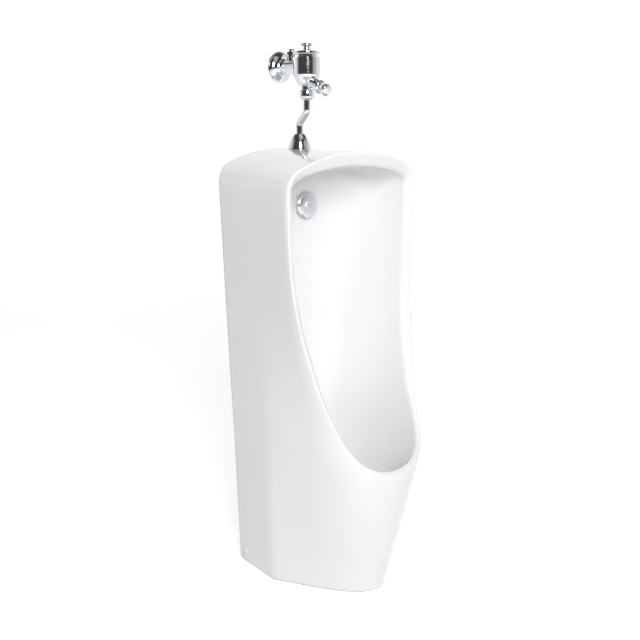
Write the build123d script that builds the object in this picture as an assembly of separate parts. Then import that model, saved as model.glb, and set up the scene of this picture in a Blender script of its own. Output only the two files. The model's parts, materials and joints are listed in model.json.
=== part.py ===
"""Floor-standing ceramic urinal with an exposed push-button flush valve.

Millimetres.  X is the viewer's right, Y points at the wall, Z is up.
The finished wall is the plane Y = 0, the finished floor is the plane Z = 0.
"""
import math
import os

from build123d import *

# overall ceramic
HEIGHT = 950.0
CHINA = 13.0
ROOF_DROP = 24.0
ROOF_SPAN = 140.0
ROOF_SIDE_FALL = 50.0
ROOF_INSET = 0.8
ROOF_SOLID_H = 55.0
ROOF_SOLID_DEPTH = 88.0
ABOVE = 40.0
RIM_ABOVE = 50.0

# plan outline of the outside, bottom to top:
# level, rear half width, crease half width, virtual corner (x, depth), virtual nose depth, corner share
CREASE_DEPTH = 127.0
FOOT_HALF = 137.0
FOOT_OUTLINE = (0.0, FOOT_HALF, 146.0, 66.0, 282.0, 327.0, 0.50)
OUTLINE = [
    (240.0, 145.4, 152.7, 109.8, 329.2, 381.7, 0.45),
    (325.0, 148.4, 155.2, 123.8, 341.0, 393.0, 0.44),
    (400.0, 152.0, 158.0, 132.0, 334.0, 378.0, 0.44),
    (512.0, 157.0, 162.0, 157.0, 312.0, 350.0, 0.42),
    (630.0, 162.0, 167.0, 176.0, 286.0, 312.0, 0.40),
    (760.0, 167.0, 174.0, 188.0, 270.0, 286.0, 0.36),
    (HEIGHT + ABOVE, 176.0, 186.0, 200.0, 266.0, 280.0, 0.34),
]

# rim line seen from the side: level and depth from the wall
RIM_LINE = [
    (HEIGHT + RIM_ABOVE, 238.0),
    (760.0, 236.0),
    (690.0, 238.0),
    (629.0, 245.0),
    (570.0, 256.0),
    (512.0, 270.0),
    (453.0, 287.0),
    (401.0, 306.0),
    (358.0, 328.0),
    (320.0, 352.0),
    (284.0, 383.0),
]
RIM_REACH = 120.0
RIM_FLARE = 18.0
RIM_SLOPE = 15.0
RIM_ROUND = 5.0
RIM_BACKING = 40.0

# sloped band inside the rim: level, rim depth, half width at its inner edge, width
RIM_BAND = [
    (HEIGHT + RIM_ABOVE, 238.0, 165.0, 18.0),
    (760.0, 236.0, 162.0, 16.0),
    (690.0, 238.0, 156.0, 15.0),
    (629.0, 245.0, 149.0, 14.0),
    (570.0, 256.0, 141.0, 13.0),
    (512.0, 270.0, 131.0, 11.0),
    (453.0, 287.0, 119.0, 9.0),
]

# bowl: level, half width, back depth, widest depth, front depth
BOWL_FLOOR = 140.0
BOWL_TOP = HEIGHT - 32.0
BOWL = [
    (BOWL_FLOOR, 52.0, 138.0, 190.0, 246.0),
    (178.0, 80.0, 114.0, 205.0, 306.0),
    (284.0, 101.0, 94.0, 240.0, 352.0),
    (400.0, 116.0, 86.0, 262.0, 440.0),
    (520.0, 134.0, 82.0, 255.0, 460.0),
    (640.0, 152.0, 80.0, 240.0, 460.0),
    (760.0, 163.0, 80.0, 235.0, 460.0),
    (HEIGHT + ABOVE, 165.0, 80.0, 235.0, 460.0),
]
BOWL_BACK = 80.0
BOWL_HALF_TOP = 166.0
BOWL_SPAN = 120.0
BOWL_SIDE_FALL = 34.0
BOWL_ROOF_DROP = 12.0
BOWL_CORNER_H = 56.0
BOWL_CORNER_DEPTH = 150.0

# drain
DRAIN_DEPTH = 190.0
DRAIN_HOLE_R = 29.0
STRAINER_R = 34.0
STRAINER_T = 3.5
STRAINER_HOLE_R = 3.5
STRAINER_HOLES = 10
TAIL_R = 27.0
TAIL_WALL = 2.5
TAIL_FLANGE_R = 38.0
TAIL_FLANGE_T = 2.5
TAIL_END = 92.0
DIP_R = 19.0
DIP_WALL = 2.0
DIP_END = 24.0
LOCK_NUT_R = 38.0
LOCK_NUT_T = 10.0
GASKET_T = 3.0
TRAP_R = 46.0
TRAP_WALL = 3.0
TRAP_BOTTOM = 12.0
TRAP_SPLIT = 38.0
TRAP_TOP = 98.0
TRAP_NUT_R = 34.0
TRAP_NUT_T = 11.0
OUTLET_R = 20.5
OUTLET_WALL = 2.0
SPIGOT_R = 20.0
OUTLET_Z = 66.0
OUTLET_PAST_WALL = 28.0
OUTLET_COLLAR_R = 32.0
OUTLET_COLLAR_T = 14.0

# side fixings near the floor
FIX_DEPTH = 20.0
FIX_Z = 24.0
BRACKET_W = 30.0
BRACKET_T = 3.0
BRACKET_FOOT = 42.0
BRACKET_H = 44.0
SCREW_R = 2.5
CAP_R = 8.5
CAP_T = 5.8
CAP_SEAT = FOOT_HALF - 1.0
BRACKET_FACE = FOOT_HALF - CHINA
FLOOR_HOLE_X = BRACKET_FACE - 26.0
FLOOR_HOLE_R = 4.0

# wall hangers near the top
HANGER_X = 105.0
HANGER_W = 40.0
HANGER_T = 3.0
HANGER_H = 71.5
HANGER_REACH = 22.0
HANGER_GAP = 0.5
HANGER_HOLES = (24.5, 54.5)
HANGER_HOLE_R = 3.0
WALL_SCREW_PAST = 26.0

# inlet, feed pipe and spreader
PIPE_R = 8.0
PIPE_WALL = 1.0
INLET_DEPTH = 64.0
SPUD_BORE = PIPE_R + 0.2
SPUD_R = SPUD_BORE + 4.3
SPUD_FLANGE = 7.0
POCKET_R = SPUD_R + 8.5
POCKET_TOP = HEIGHT - 14.0
POCKET_H = 41.0
SPUD_LOW = POCKET_TOP - 16.0
SPREADER_Z = BOWL_TOP - 88.0
SPREADER_R = 28.5
SPREADER_T = 10.0
SPREADER_SPUD_R = PIPE_R + 2.5
SPREADER_FLANGE = 7.0
FEED_DEPTH = 38.0
FEED_TOP = POCKET_TOP - 2.0
SPREADER_SLOTS = 5

# flush pipe
CONE_R = SPUD_R + 12.5
CONE_H = 32.0
VALVE_DEPTH = 87.0
PIPE_LOW = HEIGHT - 13.0
PIPE_BEND_LOW = HEIGHT + 53.0
PIPE_OFFSET_H = 24.0

# flush valve, placed from the centre line of its inlet
INLET_Z = HEIGHT + 170.0
BODY_R = 28.5
BODY_WALL = 4.0
BODY_LOW = INLET_Z - 41.0
BODY_SHOULDER = INLET_Z - 19.0
BODY_HIGH = INLET_Z + 17.0
BODY_CAVITY = INLET_Z - 21.0
BODY_TAIL_R = PIPE_R + 4.5
BODY_NECK_R = BODY_TAIL_R + 1.0
NUT_R = BODY_TAIL_R + 3.5
NUT_LOW = INLET_Z - 69.0
NUT_H = 21.0
PIPE_IN_NUT = 13.0
CAP_H = 15.0
KNOB_R = 13.5
KNOB_NECK_R = 7.0
PISTON_LOW = BODY_CAVITY + 3.0
SEAT_R = 9.5
RELIEF_R = 2.5
LIFT_STEM_R = 3.5
LIFT_LOW = PISTON_LOW + 21.0
LIFT_HIGH = BODY_HIGH + CAP_H + 10.0
INLET_NECK_R = 15.0
INLET_BORE = 8.0
STOP_DEPTH = 40.0
STOP_BOSS_R = 10.0
STOP_HIGH = INLET_Z + 30.0
STOP_BORE = 6.0
STOP_STEM_R = 4.0
STOP_PLUG_TOP = STOP_HIGH - 13.0
NECK_END = 27.0
FLANGE_R = 33.0
FLANGE_DEPTH = 17.0
THREAD_R = 10.4
NIPPLE_R = THREAD_R - 0.4
NIPPLE_BORE = 7.5
NIPPLE_IN = 5.8
NIPPLE_PAST_WALL = 16.0

# push button
BUTTON_TILT = 20.0
BUTTON_Z = INLET_Z - 28.0
BUTTON_NECK_R = 12.0
BUTTON_NUT_R = 14.5
BUTTON_STEM_R = 4.0
BUTTON_HEAD_R = 13.0
BUTTON_TRAVEL = 7.0
BUTTON_TIP = RELIEF_R + BUTTON_TRAVEL + 1.8
BUTTON_BORE = BUTTON_STEM_R + 4.5
BUTTON_BORE_START = 13.0
BUTTON_BOSS_END = 40.0

# clearances
FIT = 0.05
LOOSE = 0.3
CAP_GAP = 0.15


def mix(a, b, share):
    return (a[0] + (b[0] - a[0]) * share, a[1] + (b[1] - a[1]) * share)


def upright(y, z=0.0):
    """A vertical axis at a depth from the wall."""
    return Plane(origin=(0, -y, z), x_dir=(1, 0, 0), z_dir=(0, 0, 1))


def outward(x, z, y=0.0):
    """An axis that runs straight out of the wall."""
    return Plane(origin=(x, -y, z), x_dir=(1, 0, 0), z_dir=(0, -1, 0))


def ring(plane, outer, inner, start, end):
    """A tube between two places along the axis of a plane."""
    rod = extrude(plane.offset(start) * Circle(outer), end - start)
    if inner <= 0:
        return rod
    return rod - extrude(plane.offset(start - 1) * Circle(inner), end - start + 2)


def hexagon(plane, radius, inner, start, end):
    nut = extrude(plane.offset(start) * RegularPolygon(radius, 6), end - start)
    return nut - extrude(plane.offset(start - 1) * Circle(inner), end - start + 2)


def turned(plane, points):
    """A closed half outline (radius, place along the axis) turned round."""
    outline = Polyline(*points, close=True)
    section = Plane(origin=plane.origin, x_dir=plane.x_dir, z_dir=-plane.y_dir) * make_face(outline)
    return revolve(section, Axis(plane.origin, plane.z_dir))


def coil(plane, radius, wire, start, end, turns):
    """A round-wire compression spring."""
    length = end - start - 2 * wire
    helix = plane.offset(start + wire) * Helix(length / turns, length, radius)
    section = Plane(origin=helix @ 0, z_dir=helix % 0) * Circle(wire)
    return sweep(section, path=helix, is_frenet=True)


def sag(x, drop, span):
    """How far an arch that drops by so much over its span has fallen at x."""
    radius = (span ** 2 + drop ** 2) / (2 * drop)
    return radius - math.sqrt(radius ** 2 - x ** 2)


def outer_points(level, inset=0.0):
    """Wall corner, crease, end of the side, front corner, its end and nose of one level."""
    z, rear, crease, corner, corner_depth, nose, share = level
    r = (rear - inset, 0.0)
    c = (crease - inset, -CREASE_DEPTH)
    k = (corner - inset, inset - corner_depth)
    n = (0.0, inset - nose)
    return r, c, mix(k, c, share), k, mix(k, n, 0.5), n


def outer_face(level, inset=0.0):
    """Plan outline of the china at one level, drawn inwards by an inset."""
    r, c, s, k, f, n = outer_points(level, inset)
    rm, cm, sm, km, fm = [(-x, y) for x, y in (r, c, s, k, f)]
    edges = [
        Line(rm, r),
        Line(r, c),
        Line(c, s),
        Bezier(s, k, f),
        Bezier(f, n, fm),
        Bezier(fm, km, sm),
        Line(sm, cm),
        Line(cm, rm),
    ]
    return Plane.XY.offset(level[0]) * make_face(edges)


def bowl_face(level, grow=0.0):
    """Plan outline of the bowl at one level, drawn outwards by the skin."""
    z, half, back, wide, front = level
    h = half + grow
    b = -back + grow
    w = -wide
    f = -front - grow
    edges = [
        Bezier((0, b), (h * 0.62, b), (h, b + (w - b) * 0.38), (h, w)),
        Bezier((h, w), (h, w + (f - w) * 0.6), (h * 0.6, f), (0, f)),
        Bezier((0, f), (-h * 0.6, f), (-h, w + (f - w) * 0.6), (-h, w)),
        Bezier((-h, w), (-h, b + (w - b) * 0.38), (-h * 0.62, b), (0, b)),
    ]
    return Plane.XY.offset(z - grow) * make_face(edges)


def arch_face(y, top, half, drop, span, fall):
    """Front view of a gently arched roof with rounded shoulders, down to the floor."""
    shoulder = top - drop
    slope = math.tan(2 * math.atan(drop / span))
    reach = 0.55 * (half - span)
    side = shoulder - fall
    right = [(half, side), (half, side + 0.62 * fall), (span + reach, shoulder - reach * slope),
             (span, shoulder)]
    left = [(-x, z) for x, z in reversed(right)]
    edges = [
        Line((half, -5), right[0]),
        Bezier(*right),
        ThreePointArc(right[-1], (0, top), left[0]),
        Bezier(*left),
        Line(left[-1], (-half, -5)),
        Line((-half, -5), (half, -5)),
    ]
    return outward(0, 0, -y) * make_face(edges)


def in_front_of_rim(shift=0.0, width=500.0):
    """The space in front of the rim line, ruled straight across."""
    points = [(shift - d, z) for z, d in RIM_LINE]
    first, last = points[0], points[-1]
    foot = (last[0] - RIM_REACH, last[1] - RIM_REACH * 0.8)
    far = first[0] - 400
    edges = [
        Spline(points, tangents=[(0, -1), (-1, -0.8)]),
        Line(last, foot),
        Line(foot, (far, foot[1])),
        Line((far, foot[1]), (far, first[1])),
        Line((far, first[1]), first),
    ]
    side = Plane(origin=(-width / 2, 0, 0), x_dir=(0, 1, 0), z_dir=(1, 0, 0))
    return extrude(side * make_face(edges), width)


def level_at(z):
    """The plan outline's numbers at any level between two of its own."""
    above = next(level for level in OUTLINE if level[0] >= z)
    below = OUTLINE[OUTLINE.index(above) - 1]
    share = (z - below[0]) / (above[0] - below[0])
    return tuple(a + (b - a) * share for a, b in zip(below, above))


def roof_block(inset=0.0):
    """Everything below the arched roof, whose shoulders start just inside the sides of the china."""
    r, c, s, k, f, n = outer_points(level_at(HEIGHT - ROOF_DROP - ROOF_SIDE_FALL), inset)
    corner = Bezier(s, k, f) @ 0.2
    places = [mix(r, c, -0.16), mix(r, c, 0.95), mix(c, s, 0.8), (corner.X, corner.Y), (corner.X - 20, -500.0)]
    faces = []
    for half, y in places:
        faces.append(arch_face(y, HEIGHT - inset, half - ROOF_INSET, ROOF_DROP, ROOF_SPAN, ROOF_SIDE_FALL))
    return loft(faces)


def outer_block(inset=0.0):
    """The outside of the china as one solid, straight to the floor and curved above."""
    block = loft([outer_face(FOOT_OUTLINE, inset), outer_face(OUTLINE[0], inset)])
    block += loft([outer_face(level, inset) for level in OUTLINE])
    return block & roof_block(inset)


def bowl_block(grow=0.0):
    """The hollow of the bowl, or the same grown by the thickness of its skin."""
    block = loft([bowl_face(level, grow) for level in BOWL])
    face = arch_face(20.0, BOWL_TOP + grow, BOWL_HALF_TOP + grow, BOWL_ROOF_DROP, BOWL_SPAN, BOWL_SIDE_FALL)
    return block & extrude(face, 560)


def bowl_back_corner():
    """Solid left where the back of the bowl curves into its roof."""
    top = HEIGHT + ABOVE
    low = (20 - BOWL_BACK, BOWL_TOP - BOWL_CORNER_H)
    wall = (-BOWL_BACK, low[1])
    high = (-BOWL_CORNER_DEPTH, BOWL_TOP + 8)
    edges = [
        Line((low[0], top), low),
        Line(low, wall),
        Bezier(wall, (-BOWL_BACK - 4, BOWL_TOP - BOWL_ROOF_DROP), high),
        Line(high, (high[0], top)),
        Line((high[0], top), (low[0], top)),
    ]
    side = Plane(origin=(-250, 0, 0), x_dir=(0, 1, 0), z_dir=(1, 0, 0))
    return extrude(side * make_face(edges), 500)


def rim_flare():
    """The sloped band that leads from the rim line into the bowl."""
    faces = []
    for z, depth, half, width in RIM_BAND:
        run = RIM_SLOPE * width / RIM_FLARE
        front = RIM_SLOPE
        wide = half + width * (front + run) / run
        edges = Polyline((-half, run - depth), (half, run - depth), (wide, -depth - front),
                         (-wide, -depth - front), close=True)
        faces.append(Plane.XY.offset(z) * make_face(edges))
    band = loft(faces)
    return band & extrude(arch_face(20.0, BOWL_TOP, 300.0, BOWL_ROOF_DROP, BOWL_SPAN, BOWL_SIDE_FALL), 560)


def hollow():
    """The open space behind the bowl and under it."""
    space = outer_block(CHINA)
    space -= in_front_of_rim(RIM_BACKING)
    space -= bowl_block(CHINA)
    roof = Pos(0, -ROOF_SOLID_DEPTH - 200, HEIGHT - ROOF_SOLID_H + 100) * Box(420, 400, 200)
    return Pos(0, 1, -1) * (space - roof)


def urinal_body():
    """Vitreous china: outside skin, bowl, rim and the hollow behind."""
    solid = outer_block() - in_front_of_rim() - (bowl_block() - bowl_back_corner()) - rim_flare()
    band = max((f for f in solid.faces() if f.inner_wires()), key=lambda f: f.area, default=None)
    if band is not None:
        solid = fillet(band.outer_wire().edges(), RIM_ROUND)
    solid -= hollow()
    solid -= ring(upright(DRAIN_DEPTH), DRAIN_HOLE_R, 0, BOWL_FLOOR - CHINA - 6, BOWL_FLOOR + 6)
    solid -= ring(upright(INLET_DEPTH), SPUD_R + LOOSE, 0, POCKET_TOP - POCKET_H, HEIGHT + 5)
    solid -= ring(upright(INLET_DEPTH), POCKET_R, 0, POCKET_TOP - POCKET_H, POCKET_TOP)
    solid -= ring(outward(0, SPREADER_Z), SPREADER_SPUD_R + LOOSE, 0, BOWL_BACK - 40, BOWL_BACK + 30)
    for side in (-1, 1):
        across = Plane(origin=(0, -FIX_DEPTH, FIX_Z), x_dir=(0, 1, 0), z_dir=(side, 0, 0))
        solid -= ring(across, SCREW_R + LOOSE, 0, 100, 160)
        solid -= ring(across, CAP_R + LOOSE, 0, CAP_SEAT, 160)
    return solid


def drain_strainer():
    """Domed grid that lifts out of the drain."""
    base = BOWL_FLOOR + TAIL_FLANGE_T
    plane = upright(DRAIN_DEPTH)
    disc = turned(plane, [(0, base), (STRAINER_R, base), (STRAINER_R, base + 1.2),
                          (STRAINER_R - 6, base + STRAINER_T), (0, base + STRAINER_T + 1.5)])
    inner = TAIL_R - TAIL_WALL
    disc += ring(plane, inner - 0.4, inner - 2.4, base - 9, base + 0.5)
    for i in range(STRAINER_HOLES):
        a = 2 * math.pi * i / STRAINER_HOLES
        spot = Plane(origin=(17.5 * math.cos(a), 17.5 * math.sin(a) - DRAIN_DEPTH, base), z_dir=(0, 0, 1))
        disc -= ring(spot, STRAINER_HOLE_R, 0, -4, 9)
    for i in range(4):
        a = 2 * math.pi * (i + 0.5) / 4
        spot = Plane(origin=(8 * math.cos(a), 8 * math.sin(a) - DRAIN_DEPTH, base), z_dir=(0, 0, 1))
        disc -= ring(spot, STRAINER_HOLE_R * 0.8, 0, -4, 9)
    return disc


def drain_tail():
    """Flanged waste with its dip tube."""
    plane = upright(DRAIN_DEPTH)
    floor = BOWL_FLOOR
    inner = TAIL_R - TAIL_WALL
    dip = DIP_R - DIP_WALL
    return turned(plane, [(inner, floor + TAIL_FLANGE_T), (TAIL_FLANGE_R, floor + TAIL_FLANGE_T),
                          (TAIL_FLANGE_R, floor + LOOSE * 0.2), (TAIL_R, floor + LOOSE * 0.2),
                          (TAIL_R, TAIL_END), (DIP_R, TAIL_END - 5), (DIP_R, DIP_END), (dip, DIP_END),
                          (dip, TAIL_END - 3), (inner, TAIL_END + 3)])


def drain_gasket():
    top = BOWL_FLOOR - CHINA - 1.2
    return ring(upright(DRAIN_DEPTH), LOCK_NUT_R, TAIL_R + 0.1, top - GASKET_T, top)


def drain_nut():
    top = BOWL_FLOOR - CHINA - 1.2 - GASKET_T
    return hexagon(upright(DRAIN_DEPTH), LOCK_NUT_R + 4, TAIL_R + FIT, top - LOCK_NUT_T, top)


def trap_body():
    """Upper half of the bottle trap with the outlet socket."""
    plane = upright(DRAIN_DEPTH)
    wall = TRAP_WALL
    low = TRAP_SPLIT + 2
    shell = ring(plane, TRAP_R, 0, low, TRAP_TOP)
    socket = outward(0, OUTLET_Z)
    shell += ring(socket, OUTLET_R + wall, 0, DRAIN_DEPTH - TRAP_R - 26, DRAIN_DEPTH - 20)
    shell += ring(plane, TRAP_NUT_R - 3, 0, TRAP_TOP - 1, TRAP_TOP + TRAP_NUT_T - 4)
    shell -= ring(plane, TRAP_R - wall, 0, low - 1, TRAP_TOP - wall)
    shell -= ring(plane, TAIL_R + 0.1, 0, TRAP_TOP - 10, TRAP_TOP + 20)
    shell -= ring(socket, OUTLET_R + FIT, 0, DRAIN_DEPTH - TRAP_R - 27, DRAIN_DEPTH - TRAP_R + 1)
    shell -= ring(socket, OUTLET_R - OUTLET_WALL, 0, DRAIN_DEPTH - TRAP_R, DRAIN_DEPTH - 20)
    return shell


def trap_nut():
    """Cap nut that closes the trap round the waste."""
    plane = upright(DRAIN_DEPTH)
    top = TRAP_TOP + TRAP_NUT_T
    nut = hexagon(plane, TRAP_NUT_R + 3, TAIL_R + 0.1, TRAP_TOP + LOOSE, top)
    return nut - ring(plane, TRAP_NUT_R - 3 + FIT, 0, TRAP_TOP - 1, top - 3.9)


def trap_cup():
    """Lower half of the bottle trap, unscrewed for cleaning."""
    plane = upright(DRAIN_DEPTH)
    wall = TRAP_WALL
    r = TRAP_R
    inner = r - wall - 0.1
    return turned(plane, [(0, TRAP_BOTTOM), (r - 8, TRAP_BOTTOM), (r, TRAP_BOTTOM + 8), (r, TRAP_SPLIT),
                          (inner, TRAP_SPLIT), (inner, TRAP_SPLIT + 8), (inner - wall, TRAP_SPLIT + 8),
                          (inner - wall, TRAP_BOTTOM + 9), (inner - 9, TRAP_BOTTOM + wall),
                          (0, TRAP_BOTTOM + wall)])


def trap_ring():
    return ring(upright(DRAIN_DEPTH), TRAP_R, TRAP_R - TRAP_WALL, TRAP_SPLIT + FIT, TRAP_SPLIT + 2 - FIT)


def outlet_pipe():
    """Waste pipe from the trap, with a slimmer spigot past the face of the wall."""
    end = DRAIN_DEPTH - TRAP_R - LOOSE
    bore = OUTLET_R - OUTLET_WALL
    groove = SPIGOT_R - 0.5
    tip = -OUTLET_PAST_WALL
    return turned(outward(0, OUTLET_Z), [(bore, tip), (SPIGOT_R - 1, tip), (SPIGOT_R, tip + 2), (SPIGOT_R, 0),
                                         (groove, 0), (groove, 1), (OUTLET_R, 1), (OUTLET_R, end),
                                         (bore, end)])


def outlet_collar():
    """Rubber collar that closes the hole in the wall round the pipe."""
    plane = outward(0, OUTLET_Z)
    r = OUTLET_COLLAR_R
    return turned(plane, [(OUTLET_R + FIT, LOOSE), (r, LOOSE), (r, 4), (OUTLET_R + 4, 7),
                          (OUTLET_R + 3, OUTLET_COLLAR_T), (OUTLET_R + FIT, OUTLET_COLLAR_T)])


def side_bracket(side):
    """Angle fixed to the floor inside the china."""
    x = BRACKET_FACE - BRACKET_T / 2
    leg = Pos(side * x, -FIX_DEPTH, BRACKET_H / 2) * Box(BRACKET_T, BRACKET_W, BRACKET_H)
    foot_x = BRACKET_FACE - BRACKET_FOOT / 2
    foot = Pos(side * foot_x, -FIX_DEPTH, BRACKET_T / 2) * Box(BRACKET_FOOT, BRACKET_W, BRACKET_T)
    across = Plane(origin=(0, -FIX_DEPTH, FIX_Z), x_dir=(0, 1, 0), z_dir=(side, 0, 0))
    hole = Plane(origin=(side * FLOOR_HOLE_X, -FIX_DEPTH, 0), z_dir=(0, 0, 1))
    angle = leg + foot
    angle -= ring(across, SCREW_R + FIT, 0, 80, 140)
    return angle - ring(hole, FLOOR_HOLE_R, 0, -5, 10)


def side_screw(side):
    across = Plane(origin=(0, -FIX_DEPTH, FIX_Z), x_dir=(0, 1, 0), z_dir=(side, 0, 0))
    screw = ring(across, SCREW_R, 0, BRACKET_FACE - 10, CAP_SEAT + 1)
    screw += ring(across, SCREW_R * 1.9, 0, CAP_SEAT + FIT, CAP_SEAT + 3)
    slot = Plane(origin=(side * (CAP_SEAT + 3), -FIX_DEPTH, FIX_Z), x_dir=(0, 1, 0), z_dir=(side, 0, 0))
    return screw - extrude(slot.offset(-1.2) * Rectangle(12, 1.0), 3)


def side_cap(side):
    """Push-in cap over the head of the side screw."""
    across = Plane(origin=(0, -FIX_DEPTH, FIX_Z), x_dir=(0, 1, 0), z_dir=(side, 0, 0))
    end = CAP_SEAT + CAP_T
    return turned(across, [(0, end), (CAP_R - 2.5, end - 0.3), (CAP_R - 0.6, end - 1.2), (CAP_R, end - 2.2),
                           (CAP_R, CAP_SEAT + 0.3), (CAP_R - 1.5, CAP_SEAT + 0.3), (CAP_R - 1.5, end - 2.6),
                           (0, end - 2.6)])


def hanger_top():
    """Height of the lip just under the roof, at its lower corner."""
    return HEIGHT - CHINA - 1 - sag(HANGER_X + HANGER_W / 2, ROOF_DROP, ROOF_SPAN) - HANGER_GAP


def wall_hanger(side):
    """Steel plate on the wall whose lip carries the roof of the china."""
    high = hanger_top()
    plate = Pos(side * HANGER_X, -HANGER_T / 2, high - HANGER_H / 2) * Box(HANGER_W, HANGER_T, HANGER_H)
    reach = HANGER_REACH
    lip = Pos(side * HANGER_X, -reach / 2, high - HANGER_T / 2) * Box(HANGER_W, reach, HANGER_T)
    hook = plate + lip
    for fall in HANGER_HOLES:
        hook -= ring(outward(side * HANGER_X, high - fall), HANGER_HOLE_R, 0, -2, 8)
    return hook


def wall_screws():
    """Pan-head screws of both wall plates, driven into the wall."""
    screws = []
    for side in (-1, 1):
        for fall in HANGER_HOLES:
            axis = outward(side * HANGER_X, hanger_top() - fall)
            screw = ring(axis, HANGER_HOLE_R - 0.1, 0, -WALL_SCREW_PAST, HANGER_T + 1)
            screw += turned(axis, [(0, HANGER_T + FIT), (6.5, HANGER_T + FIT), (5.5, HANGER_T + 3),
                                   (0, HANGER_T + 4)])
            screws.append(screw)
    return Compound(children=screws)


def inlet_spud():
    """Flanged brass nipple through the roof of the china."""
    edge = SPUD_R + SPUD_FLANGE
    return turned(upright(INLET_DEPTH), [(SPUD_BORE, SPUD_LOW), (SPUD_R, SPUD_LOW), (SPUD_R, HEIGHT + 1.6),
                                         (edge, HEIGHT + 1.6), (edge, HEIGHT + 4.2), (SPUD_R, HEIGHT + 4.2),
                                         (SPUD_R, HEIGHT + 10), (SPUD_BORE, HEIGHT + 10)])


def spud_washer():
    edge = SPUD_R + SPUD_FLANGE
    return ring(upright(INLET_DEPTH), edge + 1, SPUD_R + 0.1, HEIGHT + FIT, HEIGHT + 1.6 - FIT)


def spud_gasket():
    return ring(upright(INLET_DEPTH), POCKET_R - 1.5, SPUD_R + 0.1, POCKET_TOP - GASKET_T, POCKET_TOP - FIT)


def spud_nut():
    top = POCKET_TOP - GASKET_T - FIT
    return hexagon(upright(INLET_DEPTH), POCKET_R - 1.0, SPUD_R + FIT, top - 9, top)


def feed_pipe():
    """Pipe inside the china from the roof down to the spreader."""
    path = FilletPolyline((0, -INLET_DEPTH, FEED_TOP), (0, -INLET_DEPTH, FEED_TOP - 22),
                          (0, -FEED_DEPTH, SPREADER_Z + 55), (0, -FEED_DEPTH, SPREADER_Z),
                          (0, -INLET_DEPTH + 2, SPREADER_Z), radius=15)
    section = upright(INLET_DEPTH, FEED_TOP) * (Circle(PIPE_R) - Circle(PIPE_R - PIPE_WALL))
    return sweep(section, path=path)


def spreader_spud():
    """Threaded brass nipple through the back wall of the bowl."""
    return ring(outward(0, SPREADER_Z), SPREADER_SPUD_R, PIPE_R + FIT, BOWL_BACK - 27, BOWL_BACK + 6)


def spreader_gasket():
    back = BOWL_BACK - CHINA - 1.2
    r = SPREADER_SPUD_R
    return ring(outward(0, SPREADER_Z), r + SPREADER_FLANGE, r + 0.1, back - GASKET_T, back)


def spreader_nut():
    back = BOWL_BACK - CHINA - 1.2 - GASKET_T
    r = SPREADER_SPUD_R
    return hexagon(outward(0, SPREADER_Z), r + SPREADER_FLANGE, r + FIT, back - 7, back)


def spreader_cap():
    """Chrome rose that throws the water over the back of the bowl."""
    plane = outward(0, SPREADER_Z)
    back = BOWL_BACK + 3.2
    front = back + SPREADER_T
    r = SPREADER_R
    cap = turned(plane, [(SPREADER_SPUD_R + FIT, back), (SPREADER_SPUD_R + 3, back),
                         (SPREADER_SPUD_R + 3, front - 3.5), (r - 2.5, front - 4.5), (r - 2.5, back),
                         (r, back), (r, front - 4), (r - 3, front - 1.2), (r - 9, front), (0, front + 0.6),
                         (0, front - 2.2), (SPREADER_SPUD_R + FIT, front - 2.2)])
    cap += extrude(plane.offset(front - 1) * RegularPolygon(11, 6), 3.2)
    for i in range(SPREADER_SLOTS):
        a = math.radians(-90 + (i - (SPREADER_SLOTS - 1) / 2) * 24)
        slot = Plane(origin=(r * math.cos(a), -back, SPREADER_Z + r * math.sin(a)), z_dir=(0, -1, 0),
                     x_dir=(math.cos(a), 0, math.sin(a)))
        cap -= extrude(slot.offset(-1) * Rectangle(9, 5), 4.5)
    return cap


def cone_cover():
    """Bell-shaped cover over the inlet on the roof."""
    t = 1.2
    low = HEIGHT + FIT
    outside = [(CONE_R, low), (CONE_R - 0.4, low + 3), (CONE_R - 4.5, low + 9), (CONE_R - 9.5, low + 16),
               (CONE_R - 13, low + 23), (PIPE_R + 2.4, low + CONE_H - 3), (PIPE_R + 1.6, low + CONE_H)]
    inside = [(max(r - t * 1.35, PIPE_R + FIT), z) for r, z in outside]
    return turned(upright(INLET_DEPTH), outside + inside[::-1])


def flush_pipe():
    """Chromed tube with the offset between the valve and the inlet."""
    mid_low = (0, -INLET_DEPTH, PIPE_BEND_LOW)
    mid_high = (0, -VALVE_DEPTH, PIPE_BEND_LOW + PIPE_OFFSET_H)
    high = (0, -VALVE_DEPTH, NUT_LOW + PIPE_IN_NUT)
    path = FilletPolyline((0, -INLET_DEPTH, PIPE_LOW), mid_low, mid_high, high, radius=14)
    section = upright(INLET_DEPTH, PIPE_LOW) * (Circle(PIPE_R) - Circle(PIPE_R - PIPE_WALL))
    return sweep(section, path=path)


def coupling_nut():
    """Rounded nut that joins the pipe to the valve."""
    r = NUT_R
    low = NUT_LOW
    high = NUT_LOW + NUT_H
    bore = PIPE_R + FIT
    tail = BODY_TAIL_R
    return turned(upright(VALVE_DEPTH), [(bore, low), (bore + 3, low), (r - 1.5, low + 4), (r, low + 8),
                                         (r, high - 7), (r - 1.5, high - 3), (tail + 1, high),
                                         (tail + FIT, high), (tail + FIT, low + 2.2), (bore, low + 2.2)])


def coupling_washer():
    return ring(upright(VALVE_DEPTH), BODY_TAIL_R - 0.2, PIPE_R + FIT, NUT_LOW + 2.3, NUT_LOW + 5.2)


def button_axis():
    tilt = math.radians(BUTTON_TILT)
    return Plane(origin=(0, -VALVE_DEPTH, BUTTON_Z), x_dir=(1, 0, 0),
                 z_dir=(0, -math.cos(tilt), -math.sin(tilt)))


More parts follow.
